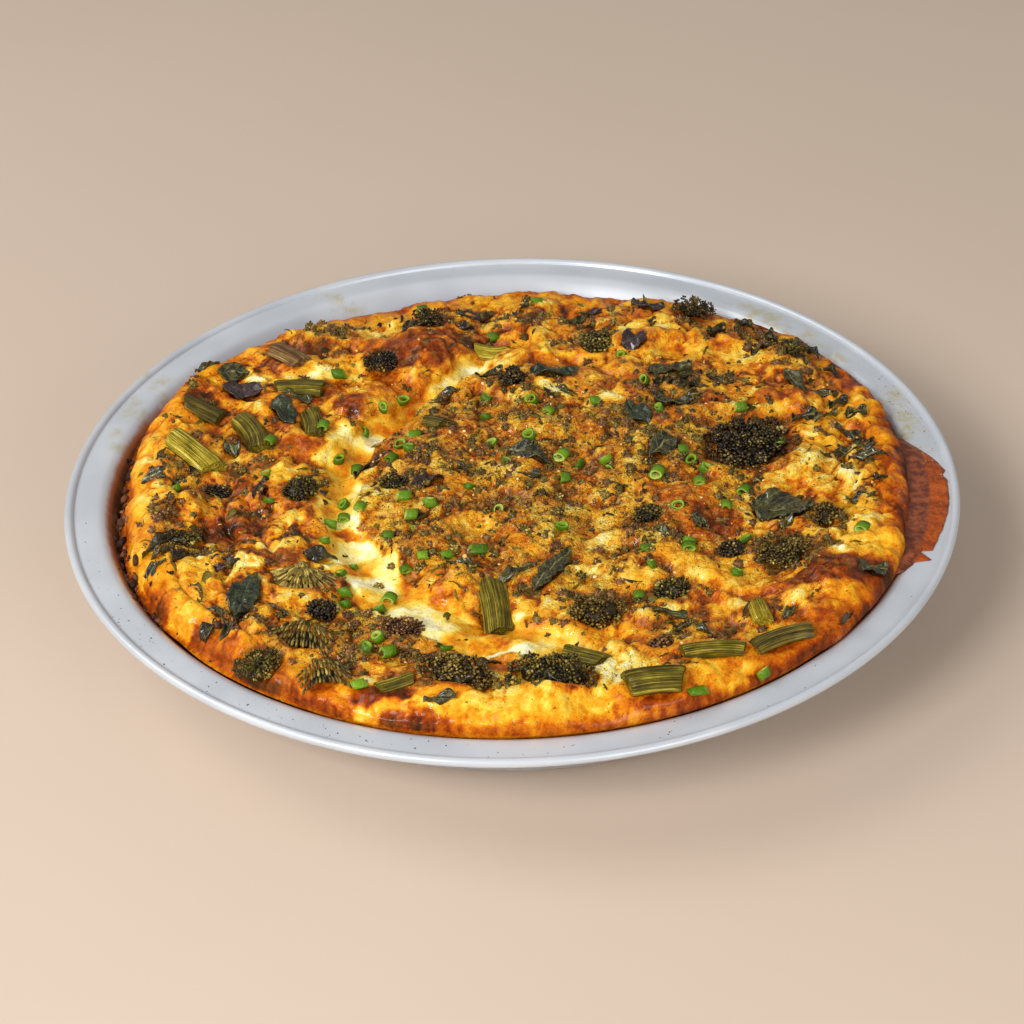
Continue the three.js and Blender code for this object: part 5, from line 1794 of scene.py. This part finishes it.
STALKS: tuple[CutStalk, ...] = tuple(CutStalk(f"stalk_{name}", *rest) for name, *rest in (
    ("left_large", -104, 9, -38, 17.5, 11, 6.5, 0, StalkKind.PALE),
    ("left_upright", -86, 24, -70, 24, 8.5, 6, 1.5, StalkKind.OLIVE),
    ("upper_left", -103, 38.5, -15, 12.5, 7, 4.5, 0, StalkKind.DARK),
    ("brown", -76, 69, -47, 16, 8, 5, 0.6, StalkKind.BROWN),
    ("back_left", -71, 49.5, 0, 16, 7.5, 5, 0.5, StalkKind.OLIVE),
    ("hollow_side", -66, 28.5, -82, 18, 7.5, 5, 0.8, StalkKind.OLIVE),
    ("back_pale", -6, 79, -15, 12, 8, 4.5, 0, StalkKind.PALE),
    ("middle", -6, -72, 96, 23, 9, 6, -0.6, StalkKind.OLIVE),
    ("front_slant", 20, -101.5, -35, 14, 7.5, 5.5, 0, StalkKind.OLIVE),
    ("front_thick", 40, -119, 3, 16.5, 9.5, 6.5, 0, StalkKind.OLIVE),
    ("front_long", 58, -104, 2, 18.5, 5.5, 4.5, 0.4, StalkKind.OLIVE),
    ("twisted", 79, -97.5, 26, 20, 6, 4.5, 1.6, StalkKind.DARK),
    ("right_upright", 73.5, -83.5, -82, 11, 6, 4.5, 0, StalkKind.PALE),
    ("front_small", -35, -114, 22, 11, 5.5, 4.5, 0, StalkKind.OLIVE),
    ("small", -25, 25, -40, 9, 5, 4, 0, StalkKind.DARK),
))

LEAVES: tuple[Leaf, ...] = tuple(Leaf(f"leaf_{name}", *rest) for name, *rest in (
    ("right_large", 85.5, -26, -20, 20, 16, 1.6, LeafKind.DARK),
    ("diagonal", 12, -56, 62, 26, 7, 1.1, LeafKind.DARK),
    ("teal", -82, -69.5, -100, 23, 9, 1.6, LeafKind.TEAL),
    ("back", 15.5, 56.5, 14, 17, 6.5, 1.0, LeafKind.TEAL),
    ("centre_right", 55, 38, -12, 14, 9, 1.3, LeafKind.DARK),
    ("centre_slant", 43, 28.5, -62, 15, 7, 1.0, LeafKind.TEAL),
    ("centre_dark", 50, 8.5, 48, 15, 8, 1.3, LeafKind.DARK),
    ("back_olive", 55, 56, 14, 16, 6.5, 1.1, LeafKind.OLIVE),
    ("back_purple", 44, 74, 30, 10, 8, 1.2, LeafKind.PURPLE),
    ("left_upper", -76, 36.5, -62, 17, 8, 1.1, LeafKind.TEAL),
    ("left_purple", -90.5, 50.5, -10, 14, 9.5, 0.9, LeafKind.PURPLE, 0, 1.5, 0.8),
    ("left_green", -94, 59.5, 5, 11, 8, 1.1, LeafKind.DARK),
    ("left_wrinkled", -92, 16, -70, 11, 6, 1.0, LeafKind.DARK),
    ("centre", 6, 4, -30, 16, 6.5, 1.0, LeafKind.DARK),
    ("black", -60, -46.5, -8, 11, 5.5, 1.0, LeafKind.BLACK),
    ("far_right", 97, 48.5, -65, 13, 6, 1.0, LeafKind.DARK),
    ("edge_right", 110.5, -63, 20, 11, 5.5, 0.8, LeafKind.DARK),
))


@dataclass(frozen=True)
class Strips:
    """Small bits of leaf and stem: place, length, width, way in degrees and any sideways bend."""

    bits: dict[LeafKind, Rows] = field(default_factory=lambda: {
        LeafKind.DARK: (
            (-103, 61, 9, 3, 20, 0.1), (107, 3, 14, 2.6, 8, 0.1), (117, -2, 12, 2.4, -14),
            (113, 9, 13, 2.6, 12, -0.5), (115, 25, 8, 5, 20), (105, 25, 9, 2, 25),
            (-112, -8, 15, 3, -12, 0.5), (-113, -55, 9, 4, 60), (47, -41, 9, 3, 5), (111, -22, 10, 2.6, 8),
            (101, -87, 8, 4, 65), (50, -88, 8, 2.6, 38, 0.2), (56, -90, 8, 2.6, -45),
            (86, -34, 10, 4.5, -88), (57, -34, 8, 4.5, -60), (-7, 63, 10, 4, 10), (59, -35, 8, 2, -50),
            (83, 89, 7, 4, -30), (57, 47, 14, 3, 32, 0.2), (98, 26, 9, 3, 10, 0.2)),
        LeafKind.OLIVE: (
            (-44, -10, 12, 3, 60, 0.2), (33, -15, 10, 3, 10), (105, 40, 12, 2.6, -20), (113, -14, 13, 3, 4),
            (1, -58, 14, 3, 30, 0.1), (-15, -53, 12, 3, -10, 0.2), (-62, -8, 8, 5, 70),
            (45, -82, 14, 3, -8), (24, 96, 11, 3.5, 30), (-8, -102, 9, 4, 10), (82, -85, 7, 3, 50),
            (-71, 44, 9, 4, -5), (-22, 46, 12, 4, 25, 0.3), (18, 47, 9, 3, -25),
            (-22, -124, 10, 2, 12, 0.1), (6, -119, 6, 4, 85), (-111, -52, 8, 2, 15, 0.1),
            (-109, -46, 8, 1.8, 30), (-95, -29, 7, 1.6, -30, 0.2), (-90, -77, 10, 2.2, -50, 0.5),
            (-80, -77, 9, 2.2, 10, 0.6), (-97, -65, 8, 2, -60, 0.3), (-72, -76, 9, 2, -30, 0.5),
            (-108, -24, 9, 1.8, 70, 0.4)),
        LeafKind.PURPLE: (
            (-45, 7, 17, 4, 45, 0.4), (-87, -50, 15, 7, 10), (-28, -9, 15, 5, 30, 0.2),
            (-104, -47, 9, 3, 70), (50, 101, 12, 6, -10), (-12, 101, 11, 5, 10), (30, 103, 8, 4, -20),
            (-15, 91, 7, 4, 0)),
        LeafKind.BLACK: (
            (56, 50, 17, 2.4, 38, 0.15), (50, 46, 12, 2.2, 62, 0.2), (63, 49, 12, 2, -70, 0.3),
            (72, 52, 11, 4, -35, 0.2), (50, 88, 6, 4, 40), (87, 69, 7, 4, 20, 0.3),
            (69, 38, 6, 2.6, 60, 0.2), (111, 14, 10, 2.4, -40, 0.4), (110, 32, 8, 3, 30, 0.3),
            (114, 1, 9, 2.2, 10, 0.3), (117, -14, 8, 2.6, 15, 0.2), (62, 41, 8, 3.4, 0, 0.4),
            (-35, 90, 8, 4, 70), (-15, -1, 8, 2.5, -50), (5, -6, 10, 4, -20), (-80, -12, 9, 4, 60, 0.3),
            (-103, -48, 9, 1.6, 60, 0.1), (-98, -33, 8, 1.8, -40, 0.2), (-86, -84, 12, 3, -110, 0.4),
            (-92, -84, 9, 4, 40, 0.4), (-84, -70, 8, 2, 30, 0.5), (-78, -84, 8, 2, -25, 0.5),
            (83, 86, 8, 4, -30, 0.3), (90, 78, 9, 3, -50, 0.2), (98, 71, 7, 4, -20, 0.3),
            (105, 66, 7, 3, -60, 0.2), (74, 88, 6, 4, 20, 0.2), (110, 55, 7, 3, -50, 0.3),
            (-110, -41, 14, 2.2, 38, 0.15), (5, 100, 9, 3, 50, 0.4), (48, 104, 5, 3, 80)),
    })

    def build(self, top: BakedTop, finishes: Finishes) -> list[Object]:
        """Lays every bit on the bake, and joins those of a colour.

        Args:
            top: the bake.
            finishes: the materials.

        Returns:
            One piece for each colour.
        """
        made = []
        for kind, bits in self.bits.items():
            shape = bmesh.new()
            for x, y, length, width, way, *bend in bits:
                leaf = Leaf("strip", x, y, way, length, width, 0.7, kind, *bend,
                            lift=0.35, sheet=0.6, blunt=0.35)
                mesh = leaf.mesh(top)
                shape.from_mesh(mesh)
                bpy.data.meshes.remove(mesh)
            name = f"strips_{kind.name.lower()}"
            made.append(Piece(name, "baked_leaf").place(mesh_from(name, shape), finishes.kinds[kind]))
        return made


@dataclass(frozen=True)
class Studio:
    """Plain pale floor, soft light and the camera at the photograph's angle."""

    focal_pixels: float = 2750
    picture: float = 1024
    distance: float = 904.5
    elevation: float = 34.8
    roll: float = 1.45
    aim: tuple[float, float, float] = (0, 0, 20)
    shift: tuple[float, float] = (-0.2 / 1024, 5.2 / 1024)

    def floor(self) -> None:
        """Lays the pale floor."""
        mesh = mesh_from("floor", grid(4, 4, 3))
        bench = NodeBench("floor", 0.6)
        bench.set(Base_Color=bench.mix(bench.noise(240, 3), paint(213, 193, 175), paint(205, 185, 167)))
        mesh.materials.append(bench.material)
        show("floor", mesh)

    def lamp(self, name: str, place: Sequence[float], size: float, power: float,
             colour: Sequence[float]) -> None:
        """Hangs a soft square light that looks at the quiche.

        Args:
            name: the light's name.
            place: where it hangs, in metres.
            size: its width in metres.
            power: its power in watts.
            colour: its colour.
        """
        light = bpy.data.lights.new(name, "AREA")
        light.shape = "SQUARE"
        light.size = size
        light.energy = power
        light.color = colour
        made = show(name, light)
        made.location = place
        made.rotation_euler = (Vector((0, 0, 0.03)) - Vector(place)).to_track_quat("-Z", "Y").to_euler()

    def camera(self) -> None:
        """Sets the camera."""
        angle = math.radians(self.elevation)
        back = Vector((0, -math.cos(angle), math.sin(angle)))
        right = Vector((1, 0, 0))
        up = right.cross(-back)
        roll = math.radians(self.roll)
        side = math.cos(roll) * right - math.sin(roll) * up
        above = math.sin(roll) * right + math.cos(roll) * up
        turn = Matrix((side, above, back)).transposed().to_4x4()
        data = bpy.data.cameras.new("camera")
        data.sensor_width = 36
        data.lens = self.focal_pixels / self.picture * 36
        data.shift_x, data.shift_y = self.shift
        made = show("camera", data)
        made.matrix_world = Matrix.Translation((Vector(self.aim) + back * self.distance) * MM) @ turn
        bpy.context.scene.camera = made

    def build(self) -> None:
        """Sets up floor, lights, sky and camera."""
        self.floor()
        self.lamp("key", (-0.98, 0.08, 1.0), 0.8, 7, (1.0, 0.985, 0.96))
        self.lamp("front", (-0.6, -0.86, 0.765), 0.42, 11.4, (1.0, 0.99, 0.97))
        self.lamp("right", (0.6, -1.1, 0.5), 0.7, 6, (1.0, 0.99, 0.97))
        world = bpy.data.worlds.new("sky")
        world.use_nodes = True
        world.node_tree.nodes["Background"].inputs["Color"].default_value = (1.0, 0.99, 0.97, 1)
        world.node_tree.nodes["Background"].inputs["Strength"].default_value = 0.35
        bpy.context.scene.world = world
        bpy.context.scene.view_settings.view_transform = "Standard"
        self.camera()


def strew_bake(egg: BakedEgg, ground: Ground, finishes: Finishes) -> None:
    """Strews crumbs, knots of buds, shreds and scraps over the bake.

    Args:
        egg: the bake.
        ground: its dressed surface.
        finishes: the materials.
    """
    crumbs = [Prototype.crumb(seed, 0.3) for seed in range(11, 15)]
    strips = [Prototype.strip(seed, 0.13 + 0.03 * (seed % 3)) for seed in range(7)]
    scraps = [Prototype.strip(seed, 0.45 + 0.1 * (seed % 3)) for seed in range(7, 11)]
    gold = Scatter("egg_crumbs", "baked_egg", 700, 0.25, 0.8, 21, 0.42, 0.2, 0.6, 0.0)
    spots = gold.points(egg, lambda s: 0.7 * s.crumb * (1 - s.herb) * s.bare)
    gold.build(crumbs, *spots, ground, finishes.heaps["egg_crumb"])
    herb = Scatter("herb_crumbs", "broccoli_head", 800, 0.3, 1.1, 22, 0.52, 0.26, 0.4, 0.05)
    spots = herb.points(egg, lambda s: s.herb * (0.4 + s.crumb) * s.bare)
    herb.build(crumbs, *spots, ground, finishes.heaps["herb_crumb"])
    for name, kind, count, seed in (
            ("loose_buds", BudKind.OLIVE, 470, 27), ("brown_buds", BudKind.BROWN, 370, 29)):
        knot = Scatter(name, "broccoli_head", count, 0.9, 2.3, seed)
        knot.knots(egg, lambda s: 1.4 * s.herb**1.7 * s.bare, ground, finishes.kinds[kind])
    shred = Scatter("green_shreds", "baked_leaf", 460, 2, 7, 23, 0.45, 0.26, 0.5, 0.0)
    scrap = Scatter("leaf_scraps", "baked_leaf", 560, 1.6, 5, 28, 0.4, 0.26, 0.45, 0.0)
    for scatter, shapes in ((shred, strips), (scrap, scraps)):
        spots = scatter.points(egg, lambda s: (0.01 + s.herb) * s.bare)
        scatter.build(shapes, *spots, ground, finishes.heaps["green_shred"])


def strew_tin(top: BakedTop, ground: Ground, finishes: Finishes) -> None:
    """Strews burnt crumbs in the gap on the left, and specks and grease on the flange.

    Args:
        top: the bake, whose edge the gap follows.
        ground: the surface of the tin and the bake.
        finishes: the materials.
    """
    crumbs = [Prototype.crumb(seed, 0.3) for seed in range(11, 15)]
    burnt = Scatter("burnt_crumbs", "baked_egg", 110, 0.4, 2.2, 24, 0.36)
    burnt.build(crumbs, *burnt.ring(197, 10, top.edge), ground, finishes.heaps["burnt_crumb"])
    speck = Scatter("tin_specks", "coated_tin", 120, 0.1, 0.34, 25, 0.3, 0.2, 0.4, 0.1)
    speck.build(crumbs, *speck.ring(235, 34), ground, finishes.heaps["baked_speck"])
    grease = Scatter("grease_crumbs", "coated_tin", 160, 0.1, 0.4, 26, 0.5, 0.25, 0.3, 0.05)
    grease.build(crumbs, *grease.ring(12, 7), ground, finishes.heaps["grease_crumb"])


def main() -> None:
    """Builds every piece in order, and reports each."""
    logging.basicConfig(level=logging.INFO, format="%(message)s")
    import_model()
    top = BakedTop()
    finishes = Finishes()
    on_bake = (*HEADS, *STALKS, *LEAVES)
    tin = Tin().build(finishes.enamel)
    egg = BakedEgg(top, [item.footprint() for item in on_bake])
    bake = egg.build(finishes.egg)
    overflow = Overflow().build(finishes.overflow)
    toppings = [item.build(top, finishes.kinds[item.kind]) for item in on_bake]
    ground = Ground([bake, *toppings, *Strips().build(top, finishes)])
    ChiveSlices().build(ground, finishes.heaps["chive"])
    strew_bake(egg, ground, finishes)
    strew_tin(top, Ground([tin, bake, overflow]), finishes)
    Studio().build()


if __name__ == "__main__":
    main()
